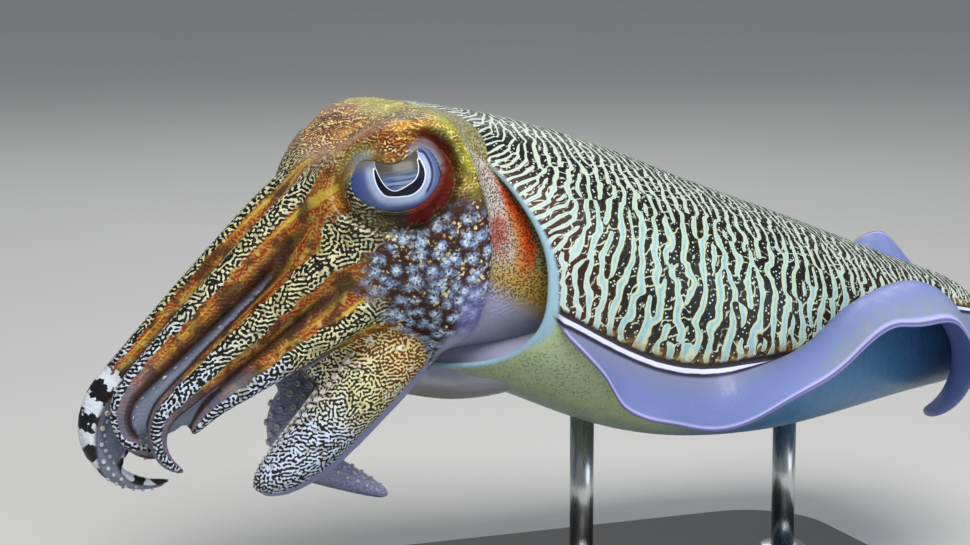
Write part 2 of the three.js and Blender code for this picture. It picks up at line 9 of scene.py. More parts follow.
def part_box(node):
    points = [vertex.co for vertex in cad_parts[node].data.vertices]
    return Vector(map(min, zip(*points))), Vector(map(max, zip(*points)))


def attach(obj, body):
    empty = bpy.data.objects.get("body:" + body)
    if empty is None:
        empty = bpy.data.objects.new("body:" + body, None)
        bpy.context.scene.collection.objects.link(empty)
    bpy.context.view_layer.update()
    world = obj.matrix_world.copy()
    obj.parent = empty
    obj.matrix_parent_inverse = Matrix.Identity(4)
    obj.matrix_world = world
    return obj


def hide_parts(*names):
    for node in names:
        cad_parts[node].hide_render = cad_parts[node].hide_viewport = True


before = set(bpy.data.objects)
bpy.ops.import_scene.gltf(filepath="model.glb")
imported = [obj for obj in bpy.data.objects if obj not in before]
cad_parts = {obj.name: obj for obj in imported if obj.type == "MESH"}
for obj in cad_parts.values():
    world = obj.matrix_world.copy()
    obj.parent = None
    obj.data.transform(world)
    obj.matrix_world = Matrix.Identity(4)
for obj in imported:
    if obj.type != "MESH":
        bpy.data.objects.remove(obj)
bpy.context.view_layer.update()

# Base: a flat board with rounded corners and a small bevel along its edges, painted satin black.
# It stands on the floor and carries the two rods.
MM = 0.001
BASE_SIZE = (230, 116, 14)
BASE_CORNER = 30
BASE_BEVEL = 2


class Value:
    """A shader socket that adds a Math node each time it is used in a sum."""

    def __init__(self, finish, socket):
        self.finish = finish
        self.socket = socket

    def math(self, operation, a, b):
        return self.finish.node("ShaderNodeMath", {"operation": operation}, {0: a, 1: b})

    def __add__(self, other):
        return self.math("ADD", self, other)

    def __sub__(self, other):
        return self.math("SUBTRACT", self, other)

    def __mul__(self, other):
        return self.math("MULTIPLY", self, other)

    def __rsub__(self, other):
        return self.math("SUBTRACT", other, self)

    def __abs__(self):
        return self.math("ABSOLUTE", self, 0.0)

    __radd__ = __add__
    __rmul__ = __mul__


class Finish:
    """A material whose colour, roughness and relief are painted by nodes."""

    def __init__(self, name, **constants):
        self.material = bpy.data.materials.new(name)
        self.material.use_nodes = True
        self.nodes = self.material.node_tree.nodes
        self.links = self.material.node_tree.links
        self.shader = self.nodes["Principled BSDF"]
        for socket, value in constants.items():
            self.shader.inputs[socket.replace("_", " ")].default_value = value
        self.place = self.node("ShaderNodeTexCoord", {}, {}, "Object")

    def node(self, kind, settings, sockets, output=0):
        made = self.nodes.new(kind)
        for key, value in settings.items():
            setattr(made, key, value)
        for key, value in sockets.items():
            found = [s for s in made.inputs if key in (s.identifier, s.name)]
            socket = made.inputs[key] if isinstance(key, int) else found[0]
            if isinstance(value, Value):
                self.links.new(value.socket, socket)
            elif isinstance(value, tuple) and len(value) == 3 and socket.type == "RGBA":
                socket.default_value = (*value, 1.0)
            else:
                socket.default_value = value
        if isinstance(output, str):
            return Value(self, [s for s in made.outputs if output in (s.identifier, s.name)][0])
        return Value(self, made.outputs[output])

    def attribute(self, name):
        return self.node("ShaderNodeAttribute", {"attribute_name": name}, {}, "Fac")

    def spread(self, value, low, high):
        """0 at low and 1 at high, smoothly, and level past both; low may be the larger."""
        settings = {"interpolation_type": "SMOOTHSTEP", "clamp": True}
        sockets = {"Value": value, "From Min": low, "From Max": high}
        return self.node("ShaderNodeMapRange", settings, sockets)

    def mixed(self, share, first, second):
        """The second colour over the first, by share."""
        sockets = {"Factor_Float": share, "A_Color": first, "B_Color": second}
        return self.node("ShaderNodeMix", {"data_type": "RGBA"}, sockets, "Result_Color")

    def cloud(self, size, detail=2.0, roughness=0.5, place=None):
        """Soft noise from 0 to 1, with lumps of this size in millimetres."""
        sockets = {"Vector": place or self.place, "Scale": 1 / (size * MM), "Detail": detail}
        return self.node("ShaderNodeTexNoise", {}, {**sockets, "Roughness": roughness})

    def dots(self, spacing, radius, place=None, soft=0.3):
        """1 in scattered dots of this radius and spacing in millimetres."""
        sockets = {"Vector": place or self.place, "Scale": 1 / (spacing * MM)}
        far = self.node("ShaderNodeTexVoronoi", {}, sockets, "Distance")
        return self.spread(far * spacing, radius * (1 + soft), radius * (1 - soft))

    def painted(self, colour, roughness=None, relief=None, height=0.2):
        """Joins the colour, the roughness and the relief in millimetres to the shader."""
        self.links.new(colour.socket, self.shader.inputs["Base Color"])
        if roughness is not None:
            self.links.new(roughness.socket, self.shader.inputs["Roughness"])
        if relief is not None:
            sockets = {"Height": relief, "Distance": height * MM, "Strength": 1.0}
            bump = self.node("ShaderNodeBump", {}, sockets)
            self.links.new(bump.socket, self.shader.inputs["Normal"])
        return self.material


def piece(name, bm, material, slot, *nodes):
    """A finished piece of the model, standing for its solid nodes."""
    mesh = bpy.data.meshes.new(name)
    bm.to_mesh(mesh)
    bm.free()
    return dressed(name, mesh, material, slot, *nodes)


def dressed(name, mesh, material, slot, *nodes):
    made = bpy.data.objects.new(name, mesh)
    bpy.context.scene.collection.objects.link(made)
    mesh.materials.append(material)
    mesh.polygons.foreach_set("use_smooth", [True] * len(mesh.polygons))
    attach(made, "root")
    if nodes:
        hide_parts(*nodes)
    return made


def rounded(bm, edges, offset, segments):
    bmesh.ops.bevel(
        bm, geom=edges, offset=offset * MM, offset_type="OFFSET", segments=segments,
        profile=0.5, affect="EDGES", clamp_overlap=True, material=-1,
    )


def base_paint():
    finish = Finish("satin_black", Specular_IOR_Level=0.4, Coat_Weight=0.15, Coat_Roughness=0.25)
    grain = finish.cloud(0.35, 3.0, 0.6)
    wear = finish.cloud(60, 3.0, 0.6)
    colour = finish.mixed(wear, (0.012, 0.011, 0.010), (0.028, 0.026, 0.024))
    roughness = 0.32 + 0.16 * wear + 0.06 * grain
    return finish.painted(colour, roughness, grain, 0.02)


bm = bmesh.new()
bmesh.ops.create_cube(bm, size=1.0)
bmesh.ops.scale(bm, vec=[side * MM for side in BASE_SIZE], verts=bm.verts)
bmesh.ops.translate(bm, vec=(0, 0, BASE_SIZE[2] * MM / 2), verts=bm.verts)
upright = [e for e in bm.edges if abs(e.verts[0].co.z - e.verts[1].co.z) > 0.001]
rounded(bm, upright, BASE_CORNER, 20)
rims = [e for e in bm.edges if abs(e.verts[0].co.z - e.verts[1].co.z) < 1e-6]
rims = [e for e in rims if any(abs(f.normal.z) < 0.5 for f in e.link_faces)]
rounded(bm, rims, BASE_BEVEL, 4)
base = piece("base_board", bm, base_paint(), "stand_base", "stand_base")
for face in base.data.polygons:
    face.use_smooth = abs(face.normal.z) < 0.999

# Rods: two brushed steel rods pressed into the base, each with a thin turned collar at its foot.
# Their upper ends go up into the belly.
ROD_RADIUS = 4
COLLAR = [(4.0, 14.05), (7.6, 14.05), (7.9, 14.5), (7.9, 16.2), (7.3, 16.9), (4.0, 17.0)]
ROD_SIDES = 48


def steel():
    finish = Finish("brushed_steel", Metallic=1.0, Anisotropic=0.5)
    stretch = finish.node("ShaderNodeMapping", {}, {"Vector": finish.place, "Scale": (1, 1, 0.02)})
    lines = finish.cloud(0.25, 2.0, 0.6, stretch)
    colour = finish.mixed(lines, (0.42, 0.43, 0.44), (0.66, 0.67, 0.68))
    return finish.painted(colour, 0.2 + 0.15 * lines, lines, 0.01)


rod_steel = steel()
for place in ("front", "rear"):
    low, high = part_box("stand_rod_" + place)
    middle = (low + high) / 2
    bm = bmesh.new()
    at = Matrix.Translation(middle)
    bmesh.ops.create_cone(
        bm, cap_ends=True, segments=ROD_SIDES, radius1=ROD_RADIUS * MM, radius2=ROD_RADIUS * MM,
        depth=high.z - low.z, matrix=at,
    )
    profile = [bm.verts.new((middle.x + r * MM, 0, z * MM)) for r, z in COLLAR]
    line = [bm.edges.new(pair) for pair in zip(profile, profile[1:])]
    bmesh.ops.spin(
        bm, geom=profile + line, cent=(middle.x, 0, 0), axis=(0, 0, 1), angle=math.tau,
        steps=ROD_SIDES, use_merge=True,
    )
    bmesh.ops.remove_doubles(bm, verts=bm.verts, dist=1e-6)
    piece("rod_" + place, bm, rod_steel, "stand_rod", "stand_rod_" + place)

# Mantle and fins: one wet skin over the shell of the body, with a free front rim round the neck
# and a waved hem along each flank that thins to a soft edge. It is drawn tight over the form.
TAIL_X = 192
PITCH = math.radians(11)
LIFT = 118
SHIFT_X = -28
RECESS_X = 18
WALL = 4.2
LIP_THICKNESS = 1.9
TAIL_ROUND = 0.14
MANTLE_SQUARE = 0.88
BACK, FIN, MARGIN, BELLY = 58, 24, 6, 34  # columns of each flank
INSIDE, LIP, OUTSIDE = 10, 6, 232  # rows from the recess floor to the tail
FIN_BAND = 2.2
RIM_ROUND = 1.2  # how far the rounded rim reaches back from its front line
RIM_RADIUS = 46
ROW_CROWDING = 1.06  # rows stand closer towards the tail
TAIL_GAP = 0.02
FLOOR_ROWS = 5  # of the rows inside, those across the recess floor


def through(*pairs):
    """A smooth curve through (place, value) pairs, as a function of the place."""
    place, value = np.array(pairs, float).T
    slope = np.empty_like(value)
    slope[1:-1] = (value[2:] - value[:-2]) / (place[2:] - place[:-2])
    slope[0] = (value[1] - value[0]) / (place[1] - place[0])
    slope[-1] = (value[-1] - value[-2]) / (place[-1] - place[-2])

    def at(x):
        x = np.asarray(x, float)
        i = np.clip(np.searchsorted(place, x, side="right") - 1, 0, len(place) - 2)
        span = place[i + 1] - place[i]
        t = np.clip((x - place[i]) / span, 0, 1)
        rise = t * t * (3 - 2 * t)
        bend = slope[i] * t * (1 - t) ** 2 - slope[i + 1] * t * t * (1 - t)
        return value[i] * (1 - rise) + value[i + 1] * rise + span * bend

    return at


def smooth(x, low, high):
    t = np.clip((x - low) / (high - low), 0, 1)
    return t * t * (3 - 2 * t)


half_width = through((-0.16, 40), (0, 48), (0.2, 55), (0.42, 55), (0.64, 45), (0.84, 29), (1, 20))
back_height = through((-0.2, 47), (0, 48.5), (0.2, 48), (0.45, 42.5), (0.7, 32), (1, 17))
belly_depth = through((-0.16, 34), (0, 38), (0.25, 41), (0.5, 34), (0.75, 20), (1, 10))
flank_line = through((-0.16, 6), (0, 4), (0.35, -4), (0.7, -3), (1, 2))
rim_line = through(
    (0, -40), (0.5, -34), (1, -15), (1.4, -3), (1.8, 0), (2.2, -5), (2.7, -16), (math.pi, -21)
)
fin_root = through(
    (0, 1.72), (0.2, 1.84), (0.37, 1.72), (0.55, 1.45), (0.66, 1.2), (0.82, 1.02), (1, 1.0)
)
FIN_SPAN = {"left": (0.005, 0.97), "right": (0.005, 0.98)}
fin_width = {
    "left": through(
        (0, 2), (0.11, 10), (0.16, 17), (0.27, 18), (0.44, 24), (0.6, 33), (0.77, 36), (0.88, 32),
        (1, 8),
    ),
    "right": through((0, 2), (0.1, 12), (0.3, 22), (0.6, 26), (0.87, 27), (1, 8)),
}
fin_turn = {
    "left": through(
        (0, -0.9), (0.11, -1.25), (0.24, -1.3), (0.31, -1), (0.38, -0.1), (0.43, 0.6), (0.49, 1.4),
        (0.55, 1.95), (0.63, 1.9), (0.71, 1.2), (0.78, 0), (0.86, -0.6), (1, -0.5),
    ),
    "right": through(
        (0, -0.3), (0.2, -0.6), (0.4, -0.2), (0.6, 0), (0.78, 0.3), (0.87, 0.95), (0.94, 0.5),
        (1, 0.7),
    ),
}
fin_bend = {
    "left": through(
        (0, -0.25), (0.38, -0.3), (0.48, -1.1), (0.56, -1.6), (0.65, -1.7), (0.77, -1.3), (1, -0.5)
    ),
    "right": through((0, -0.2), (1, -0.2)),
}


def mantle_point(x, angle, grow=0.0):
    """A point of the mantle at x, angle round from the back towards the left."""
    share = x / TAIL_X
    end = np.clip((share - 1 + TAIL_ROUND) / TAIL_ROUND, 0, 1)
    scale = np.sqrt(1 - end * end)
    c, s = np.cos(angle), np.sin(angle)
    side = half_width(share) * scale + grow
    height = np.where(c > 0, back_height(share), belly_depth(share)) * scale + grow
    y = -side * np.sign(s) * np.abs(s) ** MANTLE_SQUARE
    z = flank_line(share) + height * np.sign(c) * np.abs(c) ** MANTLE_SQUARE
    return np.stack(np.broadcast_arrays(x, y, z), -1)


def unit(v):
    return v / np.maximum(np.linalg.norm(v, axis=-1, keepdims=True), 1e-9)


def outside_mantle(p, clearance=0.25):
    """Points pushed out of the mantle, so that a hanging fin lies on it."""
    share = p[..., 0] / TAIL_X
    end = np.clip((share - 1 + TAIL_ROUND) / TAIL_ROUND, 0, 0.999)
    scale = np.sqrt(1 - end * end)
    y, z = p[..., 1], p[..., 2] - flank_line(share)
    side = half_width(share) * scale + clearance
    height = np.where(z > 0, back_height(share), belly_depth(share)) * scale + clearance
    power = 2 / MANTLE_SQUARE
    radius = ((np.abs(y) / side) ** power + (np.abs(z) / height) ** power) ** (1 / power)
    push = 1 / np.minimum(np.maximum(radius, 0.2), 1.0)
    moved = p.copy()
    moved[..., 1] = y * push
    moved[..., 2] = z * push + flank_line(share)
    return moved


def fin_points(flank, u, v, up):
    """A fin's surface: u along from the front, v across from the root, up from 1 to -1."""
    sign = 1 if flank == "left" else -1
    start, end = FIN_SPAN[flank]
    x = TAIL_X * (start + (end - start) * u)
    angle = sign * fin_root(x / TAIL_X)
    root = mantle_point(x, angle)
    along = unit(root - mantle_point(x - 1.5, angle))
    level = unit(np.cross([0, 0, 1], along))
    level = np.where((level[..., 1] * sign > 0)[..., None], -level, level)
    tips = np.sqrt(np.clip(u / 0.04, 0, 1) * np.clip((1 - u) / 0.05, 0, 1))
    width = fin_width[flank](u) * tips
    turn = fin_turn[flank](u) + fin_bend[flank](u) * v
    turn = turn + 0.05 * v * v * np.sin(u * 41) * smooth(u, 0.05, 0.2)
    flat, rise = np.cos(turn)[..., None], np.sin(turn)[..., None]
    upright = np.array([0.0, 0.0, 1.0])
    outward = level * flat + upright * rise
    normal = -level * rise + upright * flat
    half = (1.7 - 1.2 * v**0.7) * np.maximum(tips, 0.05)
    place = root + outward * (v * width)[..., None]
    edge = np.sqrt(np.clip(1 - up * up, 0, 1)) * (v >= 1)
    place = place + normal * (half * up)[..., None] + outward * (half * edge)[..., None]
    return place, v * width, width


def mantle_table():
    """Positions and measures of the whole skin, by row from the recess and column from the back."""
    rows = INSIDE + LIP + OUTSIDE
    tables = []
    for flank in ("left", "right"):
        sign = 1 if flank == "left" else -1
        # where each outside row meets the fin's root
        u = np.linspace(0, 1, OUTSIDE)
        x_root = np.zeros(OUTSIDE)
        for _ in range(4):
            start = rim_line(fin_root(x_root / TAIL_X)) + RIM_ROUND
            x_root = start + (TAIL_X - TAIL_GAP - start) * (1 - (1 - u) ** ROW_CROWDING)
        share = x_root / TAIL_X
        root_angle = fin_root(share)
        end = np.clip((share - 1 + TAIL_ROUND) / TAIL_ROUND, 0, 1)
        radius = np.maximum(half_width(share) * np.sqrt(1 - end * end), 4)
        band = np.clip(FIN_BAND / radius, 0.03, 0.3)
        across = 2 * FIN + MARGIN
        columns = BACK + across + BELLY
        angle = np.zeros((OUTSIDE, columns))
        t = np.linspace(0, 1, BACK)[None]
        angle[:, :BACK] = t * (root_angle - band)[:, None]
        q = (np.arange(across) + 1)[None] / (across + 1)
        angle[:, BACK:BACK + across] = (root_angle - band)[:, None] + q * 2 * band[:, None]
        t = np.linspace(0, 1, BELLY + 1)[None, :-1]
        below = (root_angle + band)[:, None]
        angle[:, BACK + across:] = below + t * (math.pi - below)
        start = rim_line(angle) + RIM_ROUND
        x = start + (TAIL_X - TAIL_GAP - start) * (1 - (1 - u[:, None]) ** ROW_CROWDING)
        fin_columns = slice(BACK, BACK + across)
        x[:, fin_columns] = x_root[:, None]
        place = mantle_point(x, sign * angle)
        # the fin's own columns: up its upper face, round the edge and back below
        v = np.concatenate([np.linspace(0, 1, FIN), np.ones(MARGIN), np.linspace(1, 0, FIN)])
        turned = np.linspace(1, -1, MARGIN + 2)[1:-1]
        up = np.concatenate([np.ones(FIN), turned, -np.ones(FIN)])
        first, last = FIN_SPAN[flank]
        fin_u = np.clip((share - first) / (last - first), 0, 1)
        grid_u = np.repeat(fin_u[:, None], across, 1)
        fin, reach, width = fin_points(flank, grid_u, v[None] + 0 * grid_u, up[None] + 0 * grid_u)
        fin = outside_mantle(fin)
        on = smooth(fin_u, 0, 0.03) * smooth(-fin_u, -1, -0.985)
        on = np.where((share > first) & (share < last), on, 0)[:, None, None]
        place[:, fin_columns] = place[:, fin_columns] * (1 - on) + fin * on
        # the lip and the inner wall, down to the recess floor
        first_angle = angle[0]
        rim = rim_line(first_angle)
        inner = []
        for k in range(INSIDE):
            if k < FLOOR_ROWS:
                ring = mantle_point(np.full(columns, RECESS_X), sign * first_angle, -WALL)
                middle = np.array([RECESS_X, 0, float(flank_line(RECESS_X / TAIL_X))])
                inner.append(middle + (ring - middle) * (k + 1) / FLOOR_ROWS)
            else:
                depth = (k + 1 - FLOOR_ROWS) / (INSIDE - FLOOR_ROWS)
                at = RECESS_X + (rim + 2 - RECESS_X) * depth
                thinned = WALL + (LIP_THICKNESS - WALL) * smooth(depth, 0.3, 1)
                inner.append(mantle_point(at, sign * first_angle, -thinned))
        for k in range(LIP):
            bend = math.pi * (k + 1) / (LIP + 1)
            grow = -LIP_THICKNESS / 2 - LIP_THICKNESS / 2 * math.cos(bend)
            at = rim + RIM_ROUND * (1 - math.sin(bend))
            inner.append(mantle_point(at, sign * first_angle, grow))
        place = np.concatenate([np.array(inner), place])
        # measures along the skin
        step = np.linalg.norm(np.diff(place, axis=1), axis=2)
        around = np.concatenate([np.zeros((rows, 1)), np.cumsum(step, 1)], 1)
        step = np.linalg.norm(np.diff(place, axis=0), axis=2)
        run = np.concatenate([np.zeros((1, columns)), np.cumsum(step, 0)])
        run = run - run[INSIDE + LIP // 2]
        out = np.zeros((rows, columns))
        out[:, :BACK] = around[:, :BACK] - around[:, BACK:BACK + 1]
        out[:, BACK + across:] = around[:, BACK + across - 1:BACK + across] - around[:, BACK + across:]
        out[INSIDE + LIP:, fin_columns] = reach
        edge = np.full((rows, columns), 99.0)
        edge[INSIDE + LIP:, fin_columns] = width - reach + 99 * (1 - on[:, :, 0])
        under = np.zeros((rows, columns))
        under[:, BACK + FIN + MARGIN // 2:] = 1
        fin_on = np.zeros((rows, columns))
        fin_on[INSIDE + LIP:, fin_columns] = on[:, :, 0]
        all_angles = np.concatenate([np.repeat(first_angle[None], INSIDE + LIP, 0), angle])
        # near the upper rim the bands turn to meet it squarely
        slope = (rim_line(all_angles + 0.02) - rim_line(all_angles - 0.02)) / 0.04 / RIM_RADIUS
        across_rim = np.arctan2(1.0, slope)
        near = smooth(-run, -26, -9) * smooth(-all_angles, -1.5, -1.15)
        turn = sign * across_rim * near
        layers = [place[..., 0], place[..., 1], place[..., 2], sign * around, run, out, edge]
        tables.append(np.stack(layers + [under, fin_on, turn, all_angles], -1))
    left, right = tables
    # the right side's columns follow the left's round the body, without the mid-back again
    right = right[:, 1:][:, ::-1]
    return np.concatenate([left, right], 1)


def loft(table, first_pole, last_pole):
    """A closed skin over rows and columns of points, from a ball whose points are moved."""
    rows, columns = table.shape[:2]
    bm = bmesh.new()
    bmesh.ops.create_uvsphere(bm, u_segments=columns, v_segments=rows + 1, radius=1.0)
    row, column = [], []
    for vert in bm.verts:
        x, y, z = vert.co
        k = round(math.acos(max(-1.0, min(1.0, z))) / math.pi * (rows + 1)) - 1
        j = round(math.atan2(y, x) / math.tau * columns) % columns
        row.append(k)
        column.append(j)
        if k < 0:
            vert.co = first_pole
        elif k >= rows:
            vert.co = last_pole
        else:
            vert.co = table[k, j, :3]
    bmesh.ops.recalc_face_normals(bm, faces=bm.faces)
    if bm.calc_volume(signed=True) < 0:
        bmesh.ops.reverse_faces(bm, faces=bm.faces)
    return bm, np.clip(row, 0, rows - 1), np.array(column)


def hovering(points):
    """From the animal's own level millimetres to its place over the stand, in metres."""
    x, y, z = points[..., 0], points[..., 1], points[..., 2]
    cos, sin = math.cos(PITCH), math.sin(PITCH)
    return np.stack([x * cos + z * sin + SHIFT_X, y, -x * sin + z * cos + LIFT], -1) * MM


def store(mesh, **measures):
    """Measures of each point, for the material to read."""
    for name, values in measures.items():
        layer = mesh.attributes.new(name, "FLOAT", "POINT")
        layer.data.foreach_set("value", np.asarray(values, np.float32))


def placed(bm, name):
    """A mesh from level millimetres, put in its place."""
    mesh = bpy.data.meshes.new(name)
    bm.to_mesh(mesh)
    bm.free()
    points = np.empty(len(mesh.vertices) * 3)
    mesh.vertices.foreach_get("co", points)
    points = hovering(points.reshape(-1, 3))
    mesh.vertices.foreach_set("co", points.ravel())
    mesh.update()
    return mesh


def mantle_paint():
    finish = Finish("mantle_skin", Subsurface_Weight=0.08, Subsurface_Scale=0.003, Coat_Weight=0.10,
                    Coat_Roughness=0.15, Specular_IOR_Level=0.25)
    finish.shader.inputs["Subsurface Radius"].default_value = (0.6, 0.8, 1.0)
    along = finish.attribute("along")
    around = finish.attribute("around")
    rim = finish.attribute("rim")
    out = finish.attribute("out")
    under = finish.attribute("under")
    edge = finish.attribute("edge")
    fin = finish.attribute("fin")
    tone = finish.cloud(34, 2.0)
    patch = finish.cloud(9, 2.0)
    fine = finish.cloud(1.1, 2.0)
    # bands across the back, in millimetres along and round the skin
    waver_a = (finish.cloud(7, 2.0) - 0.5) * 3.4
    waver_b = (finish.cloud(11, 1.0) - 0.5) * 6.0
    flat = finish.node("ShaderNodeCombineXYZ", {}, {"X": along + waver_a, "Y": around + waver_b})
    rate = 1.7 + 0.4 * finish.spread(abs(around), 90, 62) + 1.0 * finish.spread(abs(around), 60, 22)
    rate = rate + 0.8 * finish.spread(rim, 34, 8)
    rate = rate + 0.5 * finish.spread(along, 120, 185)
    gabor = {"Vector": flat, "Scale": 0.105, "Frequency": rate, "Anisotropy": 0.86,
             "Orientation 2D": finish.attribute("turn")}
    phase = finish.node("ShaderNodeTexGabor", {"gabor_type": "2D"}, gabor, "Phase")
    band = abs(phase * 2.0 - 1.0)
    # pale bands are wider low on the flank, and fray into thin lines above the fin
    above = finish.spread(abs(out), 16, 2)
    width = 0.47 + 0.30 * (patch - 0.5) + 0.16 * (tone - 0.5) - 0.11 * finish.spread(abs(around), 66, 25)
    fray = finish.node("ShaderNodeCombineXYZ", {}, {"X": along + waver_a * 0.5, "Y": around * 0.3})
    threads = finish.node(
        "ShaderNodeTexGabor", {"gabor_type": "2D"},
        {"Vector": fray, "Scale": 0.16, "Frequency": 2.6, "Anisotropy": 0.97}, "Phase",
    )
    band = band - above * 0.42 * (abs(threads * 2.0 - 1.0) - 0.4) + 0.10 * (fine - 0.5)
    # thin pale lines run between the bands and join them
    link = finish.node(
        "ShaderNodeTexGabor", {"gabor_type": "2D"},
        {"Vector": flat, "Scale": 0.16, "Frequency": 1.9, "Anisotropy": 0.35}, "Phase",
    )
    link = abs(link * 2.0 - 1.0)
    pale = finish.spread(width - band, -0.05, 0.06)
    thin = finish.spread(link, 0.20, 0.09) * finish.spread(patch + 0.2 * (fine - 0.5), 0.44, 0.56)
    pale = finish.node("ShaderNodeMath", {"operation": "MAXIMUM"}, {0: pale, 1: thin})
    heart = finish.spread(width - band, 0.16, 0.40) * finish.spread(abs(around), 26, 60)
    dark = finish.mixed(finish.spread(tone, 0.35, 0.65), (0.006, 0.007, 0.011), (0.014, 0.010, 0.004))
    front = finish.spread(rim, 34, 6) * finish.spread(abs(around), 30, 55)
    dark = finish.mixed(front * 0.75 * patch, dark, (0.11, 0.028, 0.010))
    dark = finish.mixed(above * 0.35, dark, (0.045, 0.018, 0.006))
    specks = finish.dots(1.35, 0.30) * finish.spread(band - width, 0.06, 0.2)
    dark = finish.mixed(specks, dark, (0.56, 0.72, 0.68))
    cream = finish.mixed(patch, (0.52, 0.58, 0.33), (0.48, 0.58, 0.46))
    cream = finish.mixed(finish.spread(abs(around), 60, 25), cream, (0.54, 0.62, 0.54))
    mint = finish.mixed(finish.cloud(3, 2.0), (0.12, 0.34, 0.42), (0.40, 0.62, 0.68))
    light = finish.mixed(heart, cream, mint)
    light = finish.mixed(front * 0.3, light, (0.70, 0.76, 0.76))
    back = finish.mixed(pale, dark, light)
    # golden brown fringe along the fin's root, then a dark line, a bright one and a dark one
    gold = finish.spread(out, -7, -1.6) * finish.spread(finish.cloud(24, 1.0), 0.50, 0.62)
    gold = gold * finish.spread(finish.cloud(1.6, 2.0), 0.40, 0.56)
    back = finish.mixed(gold * 0.8, back, (0.32, 0.17, 0.022))
    waved = out + (finish.cloud(3.0, 2.0) - 0.5) * 1.4
    back = finish.mixed(finish.spread(waved, -3.4, -2.0), back, (0.016, 0.010, 0.008))
    lilac = finish.mixed(tone, (0.13, 0.17, 0.42), (0.17, 0.23, 0.50))
    lilac = finish.mixed(finish.spread(out, 4, 26) * 0.5, lilac, (0.24, 0.30, 0.62))
    olive = finish.spread(out + 3 * (patch - 0.5), 12, 2.5)
    hem = finish.mixed(olive * 0.6, lilac, (0.20, 0.22, 0.27))
    hem = finish.mixed(finish.spread(out, 3.1, 2.0), hem, (0.020, 0.016, 0.040))
    line = finish.spread(abs(waved * 0.35 + out * 0.65 - 0.5), 0.95, 0.55)
    rays = finish.cloud(1.3, 1.0, 0.5, finish.node(
        "ShaderNodeCombineXYZ", {}, {"X": along * MM, "Y": out * 0.00003}))
    fringe = finish.spread(edge, 9.0, 2.5) * finish.spread(along, 74, 92) * finish.spread(along, 165, 140)
    ticks = finish.spread(rays, 0.40, 0.60)
    hem = finish.mixed(fringe * (0.30 + 0.25 * ticks), hem, (0.26, 0.30, 0.22))
    hem = finish.mixed(finish.spread(edge, 1.5, 0.6) * 0.75, hem, (0.50, 0.50, 0.92))
    hem = finish.mixed(finish.spread(edge, 0.5, 0.1) * 0.8, hem, (0.06, 0.05, 0.16))
    upper = finish.mixed(finish.spread(out, -1.6, -0.4), back, hem)
    upper = finish.mixed(line * fin, upper, (0.62, 0.64, 0.86))
    # belly: pale green with fine dark dots, going blue behind and low down
    low = finish.spread(finish.attribute("angle"), 2.0, 2.9)
    aft = finish.spread(along + 20 * (tone - 0.5), 40, 110)
    green = finish.mixed(tone, (0.40, 0.50, 0.30), (0.50, 0.58, 0.30))
    teal = finish.mixed(patch, (0.06, 0.20, 0.36), (0.07, 0.17, 0.36))
    belly = finish.mixed(finish.spread(aft + 0.45 * low, 0.15, 0.95), green, teal)
    stipple = finish.dots(0.9, 0.34) * finish.spread(finish.cloud(5, 2.0), 0.30, 0.60)
    belly = finish.mixed(stipple * (0.75 - 0.6 * aft), belly, (0.10, 0.24, 0.20))
    below = finish.mixed(fin, belly, finish.mixed(olive * 0.3, lilac, (0.30, 0.36, 0.40)))
    colour = finish.mixed(under, upper, below)
    # the smooth rim itself, wider down the side
    width = 0.6 + 3.4 * finish.spread(finish.attribute("angle"), 0.8, 1.75)
    width = width - 3.0 * finish.spread(finish.attribute("angle"), 1.85, 2.1)
    collar = finish.spread(rim - width, 1.2, -0.6)
    aside = finish.spread(finish.attribute("angle"), 0.3, 1.3)
    cyan = finish.mixed(aside, (0.44, 0.46, 0.34), (0.28, 0.46, 0.56))
    colour = finish.mixed(collar * (1 - fin), colour, cyan)
    # painted shade: inside the front opening, past the rim's edge, the skin is turned a flat dark grey
    colour = finish.mixed(finish.spread(rim, -1.5, -5), colour, (0.05, 0.05, 0.05))
    roughness = 0.30 + 0.14 * patch + 0.12 * pale * (1 - under)
    relief = 0.5 * pale * (1 - fin) + 0.35 * fine + 0.3 * finish.cloud(0.6, 2.0)
    return finish.painted(colour, roughness, relief, 0.22)


table = mantle_table()
poles = [(RECESS_X, 0, float(flank_line(RECESS_X / TAIL_X))), (TAIL_X, 0, float(flank_line(1)))]
bm, row, column = loft(table, *poles)
mesh = placed(bm, "mantle_and_fins")
measured = table[row, column]
names = ["around", "rim", "out", "edge", "under", "fin", "turn", "angle"]
store(mesh, along=measured[:, 0], **{n: measured[:, 3 + k] for k, n in enumerate(names)})
dressed(
    "mantle_and_fins", mesh, mantle_paint(), "mantle_skin", "mantle",
    *[f"fin_{flank}_{part}" for flank in FIN_SPAN for part in ("front", "middle", "rear")],
)

# Funnel: a soft tube from under the neck forwards, with its open lip below the head. It is a
# smooth bare skin, lilac grey, with a painted olive shadow over its lower part.
FUNNEL_BASE = (RECESS_X - 3, -13)
FUNNEL_END = (-23, -32)
FUNNEL_SIDE, FUNNEL_HEIGHT, FUNNEL_TIP = 34, 20, 9
FUNNEL_WALL = 1.8
FUNNEL_AROUND = 72
FUNNEL_SAG = 3


